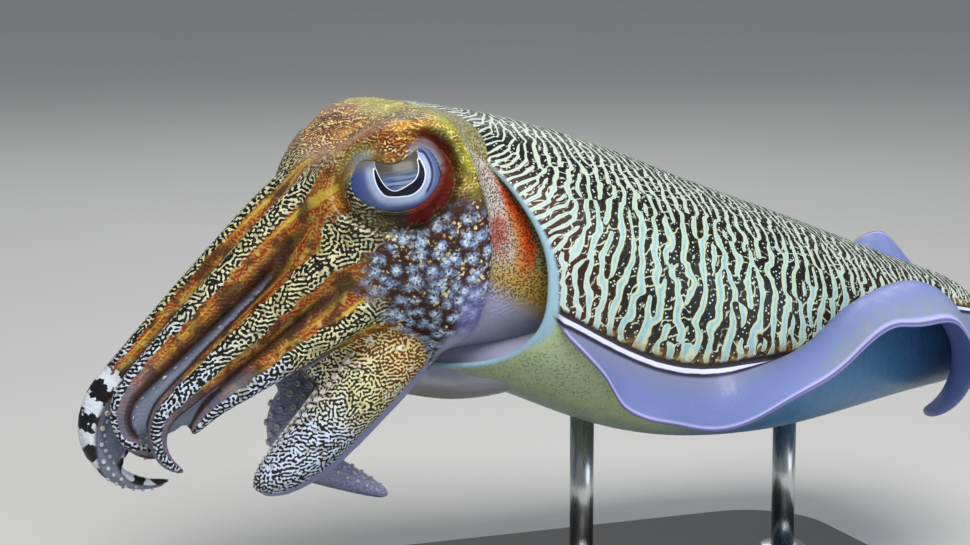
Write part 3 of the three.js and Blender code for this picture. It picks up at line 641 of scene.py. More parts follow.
def funnel_table():
    """Rows from the base forwards over the outside, round the lip and back inside."""
    size = through((0, 1), (0.5, 0.72), (0.9, 0.27), (1, 0.285))
    angle = np.arange(FUNNEL_AROUND) / FUNNEL_AROUND * math.tau
    walk = [(u, 0.0) for u in np.linspace(0, 1, 44)]
    walk += [(1.0 + 0.02 * math.sin(t), 0.5 - 0.5 * math.cos(t)) for t in (0.8, 1.6, 2.4)]
    walk += [(u, 1.0) for u in np.linspace(1, 0.55, 16)]
    rows = []
    for u, inside in walk:
        v = min(u, 1.0)
        side = FUNNEL_SIDE * float(size(v)) - FUNNEL_WALL * inside
        rise = FUNNEL_HEIGHT + (FUNNEL_TIP - FUNNEL_HEIGHT) * v - FUNNEL_WALL * inside
        # long soft creases that gather towards the lip
        crease = 1 - 0.035 * np.sin(angle * 7) * smooth(v, 0.35, 0.9) * (1 - inside)
        x = FUNNEL_BASE[0] + (FUNNEL_END[0] - FUNNEL_BASE[0]) * u
        z = FUNNEL_BASE[1] + (FUNNEL_END[1] - FUNNEL_BASE[1]) * u
        z -= FUNNEL_SAG * math.sin(math.pi * v)
        ring = [np.full(FUNNEL_AROUND, x), side * np.sin(angle) * crease]
        rows.append(np.stack(ring + [z + rise * np.cos(angle) * crease], -1))
    return np.array(rows)


def funnel_paint():
    finish = Finish("funnel_skin", Subsurface_Weight=0.2, Subsurface_Scale=0.005, Coat_Weight=0.5,
                    Coat_Roughness=0.12)
    tone = finish.cloud(14, 2.0)
    height = finish.node("ShaderNodeSeparateXYZ", {}, {"Vector": finish.place}, "Z")
    colour = finish.mixed(tone, (0.34, 0.34, 0.52), (0.46, 0.47, 0.62))
    # painted shadow: below a set height the funnel turns a darker olive
    shade = finish.spread(height + 0.006 * (tone - 0.5), 0.096, 0.082)
    colour = finish.mixed(shade * 0.6, colour, (0.26, 0.26, 0.14))
    specks = finish.dots(1.6, 0.22) * finish.spread(finish.cloud(8, 2.0), 0.5, 0.7)
    colour = finish.mixed(specks * 0.6, colour, (0.12, 0.10, 0.22))
    return finish.painted(colour, 0.28 + 0.12 * tone, finish.cloud(1.4, 3.0), 0.12)


table = funnel_table()
poles = [(FUNNEL_BASE[0], 0, FUNNEL_BASE[1]), tuple(table[-1].mean(0))]
bm, row, column = loft(table, *poles)
dressed("funnel", placed(bm, "funnel"), funnel_paint(), "funnel_skin", "funnel")

# Head, neck and arms: one skin over the head, its low eye mounds and the eight arms that hang
# from the crown, webbed together at their roots. It is modelled over the joined solid forms.
NECK_LENGTH, HEAD_LENGTH, ARM_LINE = 34, 37, 140
NECK_UP = 12
HEAD_DROOP, DROOP_START, DROOP_END = 0.87, 26, 88
HEAD_SQUARE = 0.92
EYE_ALONG, EYE_OUT, EYE_UP = 57, 29, 23
EYE_SPREAD, MOUND_OUT, MOUND_UP, MOUND_LENGTH = 0.55, 9.5, 20, 16
CROWN = NECK_LENGTH + HEAD_LENGTH
CROWN_SIDE = 21
ARM_STEPS = 120
ARMS = {
    1: dict(angle=0.4, length=112, width=16, depth=18, out=26, spread=0.6, curl=(0.72, 1, 2.3)),
    2: dict(angle=1.2, length=104, width=16, depth=18, out=26, spread=0.6, curl=(0.74, 1, 2.1)),
    3: dict(angle=1.9, length=78, width=18, depth=18, out=26, spread=0.25, curl=(0.78, 1, 0.4)),
    4: dict(angle=2.55, length=74, width=22, depth=25, out=33, spread=1.3, curl=(0.6, 1, -0.25)),
}
RIGHT_ARMS = {
    1: dict(length=136, curl=(0.64, 1, 2.7)),
    4: dict(length=98, curl=(0.44, 0.68, 1.9)),
}
BLUNT = {"left": 0.85, "right": 0}
GRAIN = 1.03 * MM  # mesh spacing of the joined skin
EYE_FINE = 21  # how far round an eye the skin is made finer
SMOOTHINGS = 7
HEAD_ROOT = 8  # how far the head's line starts back in the mantle
HEAD_END = 122
HEAD_ROWS, HEAD_COLUMNS = 90, 120
CHEEK_RISE = 3.2
NAPE_AT, NAPE_RISE, NAPE_LENGTH, NAPE_SPREAD = 50, 4.5, 8, 0.4
ARM_ROOT, WEB_ROOT = 24, 16  # how far arms and webs start back in the head
WEB_SINK = 2.5
BATCH = 8000  # points measured at a time

steps = np.arange(-HEAD_ROOT, CROWN + ARM_LINE + 1)
line_droop = HEAD_DROOP * smooth(steps, DROOP_START, DROOP_END)
line_x = RECESS_X + 1 + HEAD_ROOT - np.concatenate([[0], np.cumsum(np.cos(line_droop[:-1]))])
line_z = -np.concatenate([[0], np.cumsum(np.sin(line_droop[:-1]))])
line_z = line_z + float(flank_line(RECESS_X / TAIL_X)) + NECK_UP


def head_frame(d):
    """The head line's point at d, and its directions forwards and up."""
    droop = np.interp(d, steps, line_droop)
    none = np.zeros_like(droop)
    origin = np.stack([np.interp(d, steps, line_x), none, np.interp(d, steps, line_z)], -1)
    forward = np.stack([-np.cos(droop), none, -np.sin(droop)], -1)
    return origin, forward, np.stack([-np.sin(droop), none, np.cos(droop)], -1)


head_side = through((0, 40), (34, 37), (50, 36), (71, 32), (92, 21), (122, 9))
head_up = through((0, 29), (28, 33), (40, 37.5), (52, 35), (62, 32.5), (71, 33), (92, 24), (122, 10))
head_down = through((0, 34), (34, 38), (50, 41), (71, 38), (92, 26), (122, 10))
fold_line = through((0, 48), (0.8, 45), (1.2, 40.5), (1.6, 37), (2.0, 35.5), (math.pi, 35))


def head_point(d, angle, grow=0.0):
    """A point of the neck or head: d along its line, angle round from the top."""
    origin, _, up = head_frame(d)
    c, s = np.cos(angle), np.sin(angle)
    from_eye = (np.abs(angle) - math.atan2(EYE_OUT, EYE_UP)) / EYE_SPREAD
    mound = np.exp(-(from_eye**2) - ((d - EYE_ALONG) / MOUND_LENGTH) ** 2)
    # the cheek ends in a soft fold over the neck
    fold = fold_line(np.abs(angle))
    cheek = smooth(d, fold - 2.2, fold + 2.5) * smooth(-d, -76, -48) * smooth(np.abs(angle), 0.35, 0.9)
    grow = grow + CHEEK_RISE * cheek * smooth(-np.abs(angle), -2.7, -2.1)
    # the nape rises to close the gap under the rim
    from_nape = (angle / NAPE_SPREAD) ** 2 + ((d - NAPE_AT) / NAPE_LENGTH) ** 2
    grow = grow + NAPE_RISE * np.exp(-from_nape)
    side = head_side(d) * np.sign(s) * np.abs(s) ** HEAD_SQUARE + (mound * MOUND_OUT + grow) * s
    height = np.where(c > 0, head_up(d), head_down(d))
    rise = height * np.sign(c) * np.abs(c) ** HEAD_SQUARE + (mound * MOUND_UP + grow) * c
    return origin + up * rise[..., None] + np.array([0.0, 1.0, 0.0]) * side[..., None]


slender = through((0, 1), (0.35, 0.84), (0.7, 0.56), (0.9, 0.32), (1, 0.14))
blunt = through((0, 1), (0.35, 1), (0.7, 0.88), (0.9, 0.6), (1, 0.2))


def turned(v, angle):
    """A vector turned about the line from right to left."""
    c, s = math.cos(angle), math.sin(angle)
    return np.array([v[0] * c - v[2] * s, v[1], v[0] * s + v[2] * c])


class Arm:
    """The middle line, directions and size of one arm, from its root to its end."""

    def __init__(self, flank, pair):
        self.pair = pair
        self.flank = flank
        shape = {**ARMS[pair], **(RIGHT_ARMS.get(pair, {}) if flank == "right" else {})}
        self.__dict__.update(shape)
        sign = 1 if flank == "left" else -1
        self.keel = sign * (self.angle - math.pi)
        close = 1.15 if pair == 4 else 0.5
        start, end, curl = self.curl
        self.s = np.linspace(0, 1, ARM_STEPS + 1)
        place, direction = None, None
        rows = []
        for s in self.s:
            origin, forward, up = head_frame(CROWN + 0.35 + s * self.length)
            outward = up * (math.cos(self.angle) * self.out * (1 + (self.spread - 1) * s))
            aside = math.sin(self.angle) * CROWN_SIDE * (1 + (close - 1) * s)
            outward = outward - np.array([0, sign * aside, 0])
            if s <= start:
                following = origin + outward
                direction = unit(following - place) if place is not None else forward
                place = following
            else:
                turn = 0 if s > end else curl / ((end - start) * ARM_STEPS)
                direction = turned(direction, turn)
                place = place + direction * self.length / ARM_STEPS
            aboral = unit(outward - direction * np.dot(outward, direction))
            rows.append([place, direction, aboral, np.cross(direction, aboral)])
        self.place, self.direction, self.aboral, self.side = np.array(rows).transpose(1, 0, 2)
        bluntness = BLUNT[flank] if pair == 4 else 0
        self.taper = slender(self.s) * (1 - bluntness) + blunt(self.s) * bluntness

    def at(self, s):
        """Middle, aboral and side directions at s, which may run back into the head."""
        inside = np.clip(s, 0, 1)
        blend = [np.stack([np.interp(inside, self.s, values[:, k]) for k in range(3)], -1)
                 for values in (self.place, self.aboral, self.side, self.direction)]
        place, aboral, side, direction = blend
        back = np.minimum(s, 0)[..., None] * self.length
        place = place + direction * back + aboral * back * 0.25
        return place, unit(aboral), unit(side), np.interp(inside, self.s, self.taper)


arms = [Arm(flank, pair) for flank in ("left", "right") for pair in ARMS]


def arm_table(arm, rows=84, columns=28):
    s = np.linspace(-ARM_ROOT / arm.length, 1, rows)
    rounding = np.sqrt(np.clip((1 - s) / 0.03, 0, 1))
    place, aboral, side, taper = arm.at(s)
    angle = np.arange(columns)[None] / columns * math.tau
    c, w = np.cos(angle), np.sin(angle)
    ridge = 1 + 0.10 * np.exp(-((np.angle(np.exp(1j * angle)) / 0.45) ** 2))
    ridge = ridge - 0.07 * np.exp(-((np.abs(np.angle(np.exp(1j * angle))) - 0.95) / 0.35) ** 2)
    if arm.pair == 4:
        ridge = 1 + 0.34 * np.exp(-((np.angle(np.exp(1j * (angle - arm.keel))) / 0.33) ** 2))
    size = (taper * np.maximum(rounding, 0.02))[:, None] * ridge
    across = arm.width / 2 * size * w
    depth = arm.depth / 2 * size * np.where(c > 0, c, 0.75 * c)
    return place[:, None] + side[:, None] * across[..., None] + aboral[:, None] * depth[..., None]


def web_table(first, second, reach, rows=50, columns=20):
    """A thin sheet of skin between two arms, hollowed towards its free edge."""
    s = np.linspace(-WEB_ROOT / first.length, reach, rows)
    angle = np.arange(columns)[None, :, None] / columns * math.tau
    a, outward, _, _ = first.at(s)
    b, outward_b, _, _ = second.at(s)
    long = (b - a) / 2
    thin = unit(outward + outward_b)
    middle = (a + b) / 2 - thin * WEB_SINK
    ends = np.sqrt(np.clip((s[-1] - s) / 0.05, 0, 1))[:, None, None]
    thickness = 2.6 - 1.2 * smooth(s, 0, reach)[:, None, None]
    hollow = 1 - 0.25 * smooth(s, reach * 0.5, reach)[:, None, None]
    table = middle[:, None] + long[:, None] * np.cos(angle) * hollow
    return table + thin[:, None] * np.sin(angle) * thickness * np.maximum(ends, 0.05)


def closed(table):
    return loft(table, tuple(table[0].mean(0)), tuple(table[-1].mean(0)))[0]


# the joined forms
d = np.linspace(-1, HEAD_END, HEAD_ROWS)[:, None]
angle = np.arange(HEAD_COLUMNS)[None] / HEAD_COLUMNS * math.tau
angle = np.angle(np.exp(1j * angle))
forms = [head_point(d + 0 * angle, angle + 0 * d)]
forms += [arm_table(arm) for arm in arms]
for k in (0, 4):
    row = arms[k:k + 4]
    forms += [web_table(row[0], row[1], 0.86), web_table(row[1], row[2], 0.88)]
    forms += [web_table(row[2], row[3], 0.5)]
forms.append(web_table(arms[0], arms[4], 0.5))
forms.append(web_table(arms[3], arms[7], 0.2))
whole = bmesh.new()
for form in forms:
    bm = closed(form)
    part = bpy.data.meshes.new("form")
    bm.to_mesh(part)
    bm.free()
    whole.from_mesh(part)
    bpy.data.meshes.remove(part)
mesh = placed(whole, "forms")
joined = bpy.data.objects.new("forms", mesh)
bpy.context.scene.collection.objects.link(joined)
remesh = joined.modifiers.new("joined", "REMESH")
remesh.mode = "VOXEL"
remesh.voxel_size = GRAIN
soften = joined.modifiers.new("softened", "SMOOTH")
soften.factor = 0.5
soften.iterations = SMOOTHINGS
skin = bpy.data.meshes.new_from_object(joined.evaluated_get(bpy.context.evaluated_depsgraph_get()))
bpy.data.objects.remove(joined)


def level(points):
    """From metres over the stand back to the animal's own level millimetres."""
    x, y, z = points[..., 0] / MM - SHIFT_X, points[..., 1] / MM, points[..., 2] / MM - LIFT
    cos, sin = math.cos(PITCH), math.sin(PITCH)
    return np.stack([x * cos - z * sin, y, x * sin + z * cos], -1)


def coordinates(mesh):
    points = np.empty(len(mesh.vertices) * 3)
    mesh.vertices.foreach_get("co", points)
    return level(points.reshape(-1, 3))


# Eyes: a wet ball in each mound under a drooping upper lid, silver blue with a dark waved pupil.
EYE_RADIUS = 15
EYE_SHAPE = np.array([1.17, 1.0, 0.92])
EYE_TILT, EYE_YAW = 0.35, 0.3
EYE_SHIFT = -2.6  # the ball sits this much further forward than the mound's middle
OPENING = (-0.6, 1.3)  # middle of the lids' opening, on the eye's own axes
OPENING_HALF = 14.0
LID_RISE = 1.4


def eye_axes(flank):
    """The eye's middle, and its own directions back, right and up."""
    sign = 1 if flank == "left" else -1
    origin, _, up = head_frame(float(EYE_ALONG))
    middle = origin + up * EYE_UP + np.array([0, -sign * EYE_OUT, 0])
    tilt = Matrix.Rotation(-EYE_TILT, 3, "Y")
    axes = Matrix.Rotation(-sign * EYE_YAW, 3, "Z") @ tilt
    axes = np.array([list(axes.col[k]) for k in range(3)])
    return middle + axes[0] * EYE_SHIFT, axes


def eye_local(points, flank):
    middle, axes = eye_axes(flank)
    local = (points - middle) @ axes.T
    if flank == "left":
        local[:, 1] *= -1
    return local


upper_lid = through(
    (-1, 0), (-0.93, 3.6), (-0.72, 7.4), (-0.5, 7.8), (-0.2, 6.5), (0.02, 5.8), (0.25, 6.4),
    (0.5, 8.0), (0.68, 8.6), (0.85, 7.2), (0.97, 3.3), (1, 0),
)
lower_lid = through(
    (-1, 0), (-0.93, -2.8), (-0.7, -5.8), (-0.35, -8.4), (0, -9.5), (0.35, -8.9), (0.7, -6.2),
    (0.93, -2.6), (1, 0),
)


def lid_gap(local):
    """How far a point is from the lids' opening, in millimetres: below 0 inside it."""
    x, z = local[:, 0] - OPENING[0], local[:, 2] - OPENING[1]
    t = np.linspace(-1, 1, 60)
    outline = np.concatenate([
        np.stack([t * OPENING_HALF, upper_lid(t)], -1),
        np.stack([t[::-1] * OPENING_HALF, lower_lid(t[::-1])], -1),
    ])
    share = x / OPENING_HALF
    inside = (np.abs(share) < 1) & (z < upper_lid(share)) & (z > lower_lid(share))
    far = np.full(len(x), 1e9)
    for a in outline:
        far = np.minimum(far, np.hypot(x - a[0], z - a[1]))
    return np.where(inside, -far, far)


def ball_depth(local):
    """How far out the ball's surface is under a point."""
    reach = (local[:, 0] / EYE_SHAPE[0]) ** 2 + (local[:, 2] / EYE_SHAPE[2]) ** 2
    return np.sqrt(np.maximum(EYE_RADIUS**2 - reach, 0))


bm = bmesh.new()
bm.from_mesh(skin)
# finer round each eye, then finer still along the edges of the lids
for turn in range(2):
    points = level(np.array([v.co for v in bm.verts]))
    near = np.zeros(len(points), bool)
    for flank in ("left", "right"):
        local = eye_local(points, flank)
        gap = lid_gap(local) if turn else np.linalg.norm(local, axis=1) - EYE_FINE
        near |= (np.abs(gap) < 3) & (local[:, 1] > 4) if turn else (gap < 0) & (local[:, 1] > 2)
    edges = [e for e in bm.edges if near[e.verts[0].index] and near[e.verts[1].index]]
    bmesh.ops.subdivide_edges(bm, edges=edges, cuts=1, use_grid_fill=True)
    bm.verts.index_update()
bm.to_mesh(skin)
bm.free()
points = coordinates(skin)
eye_gap = np.full(len(points), 40.0)
eye_x, eye_z = np.zeros(len(points)), np.zeros(len(points))
for flank in ("left", "right"):
    local = eye_local(points, flank)
    near = (np.linalg.norm(local, axis=1) < 30) & (local[:, 1] > 0)
    part = local[near]
    gap = lid_gap(part)
    ball = ball_depth(part)
    lid = ball + LID_RISE * np.exp(-(((gap - 1.2) / 1.4) ** 2)) - 0.15
    blend = smooth(-gap, -9, -1.5)
    out = part[:, 1] * (1 - blend) + lid * blend
    out = np.where(gap > 0, np.maximum(out, ball + 0.35) * (ball > 2) + out * (ball <= 2), out)
    out = np.where(gap < 0, np.minimum(ball + 0.9 + gap * 3.0, out), out)
    out = np.where(gap < -0.9, ball - 2.0, out)
    part[:, 1] = out
    eye_gap[near] = gap
    eye_x[near], eye_z[near] = part[:, 0] - OPENING[0], part[:, 2] - OPENING[1]
    if flank == "left":
        part[:, 1] *= -1
    middle, axes = eye_axes(flank)
    points[near] = middle + part @ axes
skin.vertices.foreach_set("co", hovering(points).ravel())
skin.update()

# measures of each point: along and round the head, and along and round the nearest arm
fine = np.arange(-6, 180, 0.5)
fine_origin, _, fine_up = head_frame(fine)
count = len(points)
head_d, head_a = np.zeros(count), np.zeros(count)
for start in range(0, count, BATCH):
    part = points[start:start + BATCH]
    gap = (part[:, None, 0] - fine_origin[None, :, 0]) ** 2
    gap = gap + (part[:, None, 2] - fine_origin[None, :, 2]) ** 2
    near = gap.argmin(1)
    head_d[start:start + BATCH] = fine[near]
    rise = ((part - fine_origin[near]) * fine_up[near]).sum(1)
    head_a[start:start + BATCH] = np.arctan2(np.abs(part[:, 1]), rise)
best = np.full(count, 1e9)
arm_s, arm_t, arm_k, arm_keel, arm_right = (np.zeros(count) for _ in range(5))
for arm in arms:
    for start in range(0, count, BATCH):
        part = points[start:start + BATCH]
        gap = ((part[:, None] - arm.place[None]) ** 2).sum(2)
        near = gap.argmin(1)
        offset = part - arm.place[near]
        across = (offset * arm.side[near]).sum(1) / (arm.width / 2 * arm.taper[near])
        depth = (offset * arm.aboral[near]).sum(1) / (arm.depth / 2 * arm.taper[near])
        along = (offset * arm.direction[near]).sum(1) / (arm.width / 2)
        reach = np.sqrt(across**2 + depth**2 + along**2)
        better = reach < best[start:start + BATCH]
        window = np.arange(start, start + len(part))[better]
        best[window] = reach[better]
        arm_s[window] = arm.s[near][better]
        arm_t[window] = np.abs(np.arctan2(across, depth))[better]
        arm_k[window] = arm.pair
        turn = np.arctan2(across, depth)[better] - arm.keel
        arm_keel[window] = np.abs(np.angle(np.exp(1j * turn)))
        arm_right[window] = arm.flank == "right"
rim_gap = head_d - (RECESS_X + 1 - rim_line(head_a))
store(skin, fold=head_d - fold_line(head_a), rim_gap=rim_gap, head_d=head_d, head_a=head_a)
store(skin, arm_s=arm_s, arm_t=arm_t, arm_k=arm_k, arm_keel=arm_keel, arm_right=arm_right)
store(skin, arm_far=best, eye_gap=eye_gap, eye_x=eye_x, eye_z=eye_z)


def head_paint():
    finish = Finish("head_skin", Subsurface_Weight=0.04, Subsurface_Scale=0.002, Coat_Weight=0.07,
                    Coat_Roughness=0.15, Specular_IOR_Level=0.2)
    d, a = finish.attribute("head_d"), finish.attribute("head_a")
    s, t = finish.attribute("arm_s"), finish.attribute("arm_t")
    pair, keel = finish.attribute("arm_k"), finish.attribute("arm_keel")
    far = finish.attribute("arm_far")
    gap, ex, ez = (finish.attribute(n) for n in ("eye_gap", "eye_x", "eye_z"))
    tone = finish.cloud(26, 2.0)
    patch = finish.cloud(9, 2.0)
    small = finish.cloud(3.2, 2.0)
    fine = finish.cloud(0.9, 2.0)
    maze = finish.node(
        "ShaderNodeTexGabor", {"gabor_type": "3D"},
        {"Vector": finish.place, "Scale": 205.0, "Frequency": 3.6, "Anisotropy": 0.0}, "Phase",
    )
    maze = abs(maze * 2.0 - 1.0) + (fine - 0.5) + 0.9 * (small - 0.5)
    close = finish.node(
        "ShaderNodeTexGabor", {"gabor_type": "3D"},
        {"Vector": finish.place, "Scale": 260.0, "Frequency": 3.4, "Anisotropy": 0.0}, "Phase",
    )
    close = abs(close * 2.0 - 1.0) + 0.9 * (fine - 0.5)
    # brow: brown orange with dense pale yellow spots, greener behind and redder in front
    warm = finish.mixed(tone, (0.09, 0.016, 0.002), (0.26, 0.045, 0.002))
    warm = finish.mixed(finish.spread(patch, 0.52, 0.70), warm, (0.46, 0.20, 0.006))
    green = finish.spread(finish.attribute("fold") + 9 * (patch - 0.5), 10, 3)
    warm = finish.mixed(green, warm, (0.30, 0.28, 0.010))
    # painted shade: dark brown patches scattered at random over the brow
    warm = finish.mixed(finish.spread(finish.cloud(13, 3.0), 0.52, 0.64) * 0.85, warm, (0.028, 0.012, 0.004))
    spots = finish.spread(close, 0.36, 0.24)
    pale = finish.mixed(patch, (0.72, 0.62, 0.20), (0.78, 0.64, 0.34))
    brow = finish.mixed(spots * (0.25 + 0.75 * finish.spread(small, 0.42, 0.56)), warm, pale)
    # cheek: dark brown with blue white blotches and small pale spots
    brown = finish.mixed(patch, (0.016, 0.010, 0.008), (0.07, 0.013, 0.007))
    warp = finish.node("ShaderNodeVectorMath", {"operation": "ADD"}, {
        0: finish.place, 1: finish.node("ShaderNodeVectorMath", {"operation": "SCALE"}, {
            0: finish.node("ShaderNodeTexNoise", {}, {
                "Vector": finish.place, "Scale": 900.0, "Detail": 1.0}, "Color"), "Scale": 0.0022})})
    blotch = finish.dots(3.7, 1.75, warp, 0.5) * finish.spread(fine + 0.25 * (small - 0.5), 0.36, 0.50)
    core = finish.dots(3.7, 0.95, warp, 0.5)
    blue = finish.mixed(0.35 * small + 0.65 * core, (0.15, 0.30, 0.58), (0.72, 0.82, 0.90))
    cheek_spots = finish.dots(1.7, 0.55, warp, 0.4) * finish.spread(finish.cloud(5, 2.0), 0.42, 0.58)
    cheek = finish.mixed(cheek_spots, brown, (0.74, 0.66, 0.34))
    blued = finish.spread(a, 1.15, 1.45)
    cheek = finish.mixed(blotch * blued, cheek, blue)
    violet = finish.spread(a, 1.75, 2.15) * finish.spread(d, 52, 44)
    cheek = finish.mixed(violet * 0.75, cheek, finish.mixed(small, (0.06, 0.05, 0.30), (0.36, 0.36, 0.66)))
    lower = finish.spread(a + 0.25 * (patch - 0.5), 1.02, 1.30)
    head = finish.mixed(lower, brow, cheek)
    # round the eye: olive in front, a dark red patch behind, then painted shade: green black further behind
    # and black below
    round_eye = finish.spread(gap, 9, 2)
    head = finish.mixed(round_eye * finish.spread(ex, 0, -9) * 0.7, head, (0.16, 0.17, 0.035))
    # painted shadow: nearly black under the eye
    shade = finish.spread(gap, 6, 1.0) * finish.spread(ez + 0.4 * ex, 2, -5)
    head = finish.mixed(shade * 0.95, head, (0.010, 0.010, 0.006))
    # painted shade: dark green black behind the eye, further out than the red patch
    behind = finish.spread(gap + 5 * (small - 0.5), 9.5, 6) * finish.spread(ex - 0.4 * ez, 5, 10)
    head = finish.mixed(behind * 0.8, head, (0.014, 0.018, 0.006))
    red = finish.spread(gap + 5 * (small - 0.5), 6.5, 4) * finish.spread(ex - 0.3 * ez, 3, 7)
    head = finish.mixed(red * 0.85, head, (0.13, 0.006, 0.004))
    pale_lid = finish.spread(gap, 3.2, 0.6) * finish.spread(ez, -1, 3) * finish.spread(abs(ex + 0.5), 4, 7)
    head = finish.mixed(pale_lid * 0.65, head, (0.22, 0.25, 0.32))
    lobe = finish.spread(gap, 5, 1) * finish.spread(abs(ex + 1), 6, 3) * finish.spread(ez, 0, 2)
    head = finish.mixed(lobe * 0.6, head, (0.16, 0.06, 0.015))
    # smooth grey lilac under the head
    bare = finish.spread(a + 0.2 * (patch - 0.5), 2.25, 2.5) * finish.spread(d, 60, 48)
    lilac = finish.mixed(tone, (0.34, 0.34, 0.52), (0.44, 0.45, 0.60))
    head = finish.mixed(bare, head, lilac)
    # neck: fine dots over white above, orange and red at the side, ochre low down
    dots = finish.dots(0.72, 0.33, soft=0.5)
    rim = finish.attribute("rim_gap") + 3.5 * (patch - 0.5)
    fold = finish.attribute("fold")
    orange = finish.mixed(finish.spread(rim, 5, 8), (0.66, 0.075, 0.006), (0.60, 0.24, 0.065))
    pink = finish.mixed(finish.spread(rim, 7.5, 11), orange, (0.56, 0.50, 0.46))
    near_fold = finish.spread(fold + 3 * (small - 0.5), -8, -4.5)
    pink = finish.mixed(near_fold * 0.9, pink, (0.52, 0.50, 0.46))
    flush = near_fold * finish.spread(abs(a - 1.45) + 0.5 * (small - 0.5), 0.24, 0.04)
    pink = finish.mixed(flush * 0.8, pink, (0.42, 0.040, 0.018))
    white = finish.mixed(finish.spread(a, 1.0, 0.8), pink, (0.50, 0.50, 0.40))
    khaki = finish.mixed(finish.spread(rim, 3.5, 1.2), white, (0.34, 0.32, 0.15))
    ochre = finish.mixed(finish.spread(a + 0.3 * (patch - 0.5), 1.55, 1.85), khaki, (0.50, 0.34, 0.075))
    neck = finish.mixed(finish.spread(a + 0.01 * rim, 1.92, 2.15), ochre, lilac)
    neck = finish.mixed(dots * 0.9 * finish.spread(a, 2.1, 1.9), neck, (0.045, 0.016, 0.012))
    head = finish.mixed(finish.spread(fold, 0.8, -0.6), head, neck)
    # streaks that follow the arms
    lengthwise = finish.node("ShaderNodeCombineXYZ", {}, {"X": s * 5.0, "Y": t * 3.6, "Z": pair * 7.0})
    streak = finish.node("ShaderNodeTexNoise", {}, {"Vector": lengthwise, "Scale": 1.0, "Detail": 3.0})
    # arms: a maze of black and cream down each ridge, orange and red sides, painted shade in the grooves
    cream = finish.mixed(patch, (0.66, 0.60, 0.26), (0.62, 0.66, 0.50))
    cream = finish.mixed(finish.spread(s + 0.25 * (patch - 0.5), 0.40, 0.65), cream, (0.56, 0.66, 0.82))
    cream = finish.mixed(finish.spread(small, 0.50, 0.34) * 0.6, cream, (0.17, 0.14, 0.035))
    lines = finish.mixed(finish.spread(maze, 0.44, 0.33), (0.008, 0.007, 0.005), cream)
    sides = finish.mixed(finish.spread(streak, 0.42, 0.54), (0.24, 0.028, 0.004), (0.32, 0.095, 0.006))
    sides = finish.mixed(finish.spread(streak, 0.54, 0.62), sides, (0.48, 0.35, 0.030))
    sides = finish.mixed(finish.spread(small, 0.58, 0.66) * 0.7, sides, (0.50, 0.40, 0.09))
    sides = finish.mixed(finish.spread(close, 0.34, 0.22) * 0.45, sides, (0.56, 0.44, 0.14))
    # painted shade: dark patches scattered at random over the arms' sides
    painted_shade_patches = finish.spread(finish.cloud(7, 3.0), 0.46, 0.62)
    sides = finish.mixed(painted_shade_patches * 0.8, sides, (0.035, 0.016, 0.006))
    sides = finish.mixed(finish.spread(s + 0.2 * (patch - 0.5), 0.55, 0.8) * 0.8, sides, (0.13, 0.14, 0.22))
    wide = 0.58 + 0.7 * (patch - 0.5) + 0.4 * (small - 0.5)
    arm = finish.mixed(finish.spread(t - wide, 0.10, -0.06), sides, lines)
    # painted shade: the sides where the arms meet are darkened nearly to black
    painted_groove_shade = finish.spread(t + 0.8 * (streak - 0.5), 1.05, 1.5)
    arm = finish.mixed(painted_groove_shade * 0.9, arm, (0.026, 0.010, 0.007))
    inner = finish.mixed(streak, (0.10, 0.12, 0.20), (0.24, 0.28, 0.36))
    membrane = finish.spread(far, 1.12, 1.3) * finish.spread(s + 0.2 * (patch - 0.5), 0.22, 0.42)
    arm = finish.mixed(membrane, arm, inner)
    inner_share = finish.spread(t, 1.75, 2.2) * finish.spread(s, 0.1, 0.3)
    arm = finish.mixed(inner_share, arm, inner)
    # the stretched first arm on the right is banded black and white to its hooked end
    bands = finish.node("ShaderNodeMath", {"operation": "SINE"}, {0: s * 95.0 + 7.0 * (small - 0.5)})
    banded = finish.mixed(finish.spread(bands, -0.15, 0.15), (0.008, 0.008, 0.010), (0.66, 0.72, 0.80))
    hooked = finish.attribute("arm_right") * finish.spread(pair, 1.5, 1.4) * finish.spread(s, 0.55, 0.62)
    arm = finish.mixed(hooked * finish.spread(t, 2.0, 1.6), arm, banded)
    # the last pair is broad and spotted all over, with a bare lilac keel below
    last = finish.spread(pair, 3.4, 3.6)
    gold = finish.mixed(tone, (0.20, 0.060, 0.006), (0.07, 0.024, 0.005))
    gold = finish.mixed(finish.spread(close, 0.44, 0.28), gold, (0.66, 0.58, 0.28))
    gold = finish.mixed(finish.dots(6.5, 1.7, warp, 0.3), gold, (0.82, 0.80, 0.72))
    fine_lines = finish.mixed(finish.spread(close, 0.54, 0.38), (0.016, 0.012, 0.010), cream)
    broad = finish.mixed(finish.spread(s + 0.25 * (patch - 0.5), 0.10, 0.40), gold, fine_lines)
    keel = finish.spread(keel + 0.15 * (small - 0.5), 0.85, 0.70)
    broad = finish.mixed(keel, broad, finish.mixed(tone, (0.28, 0.28, 0.56), (0.36, 0.38, 0.64)))
    arm = finish.mixed(last, arm, broad)
    arm = finish.mixed(last * finish.attribute("arm_right") * finish.spread(s, 0.2, 0.45) * 0.85, arm,
                       finish.mixed(streak, (0.20, 0.22, 0.42), (0.40, 0.42, 0.62)))
    jaw = finish.spread(a, 1.25, 1.5) * finish.spread(a, 2.5, 2.2)
    onto_arms = finish.spread(d - 9 * jaw + 7 * (patch - 0.5), 64, 74)
    colour = finish.mixed(onto_arms, head, arm)
    relief = 0.45 * fine + 0.55 * small + 0.35 * finish.spread(maze, 0.5, 0.3)
    return finish.painted(colour, 0.30 + 0.2 * small, relief, 0.30)


dressed("head_and_arms", skin, head_paint(), "head_skin", "neck", "head", *[
    f"arm_{arm.flank}_{arm.pair}_{part}" for arm in arms for part in ("base", "middle", "tip")
])


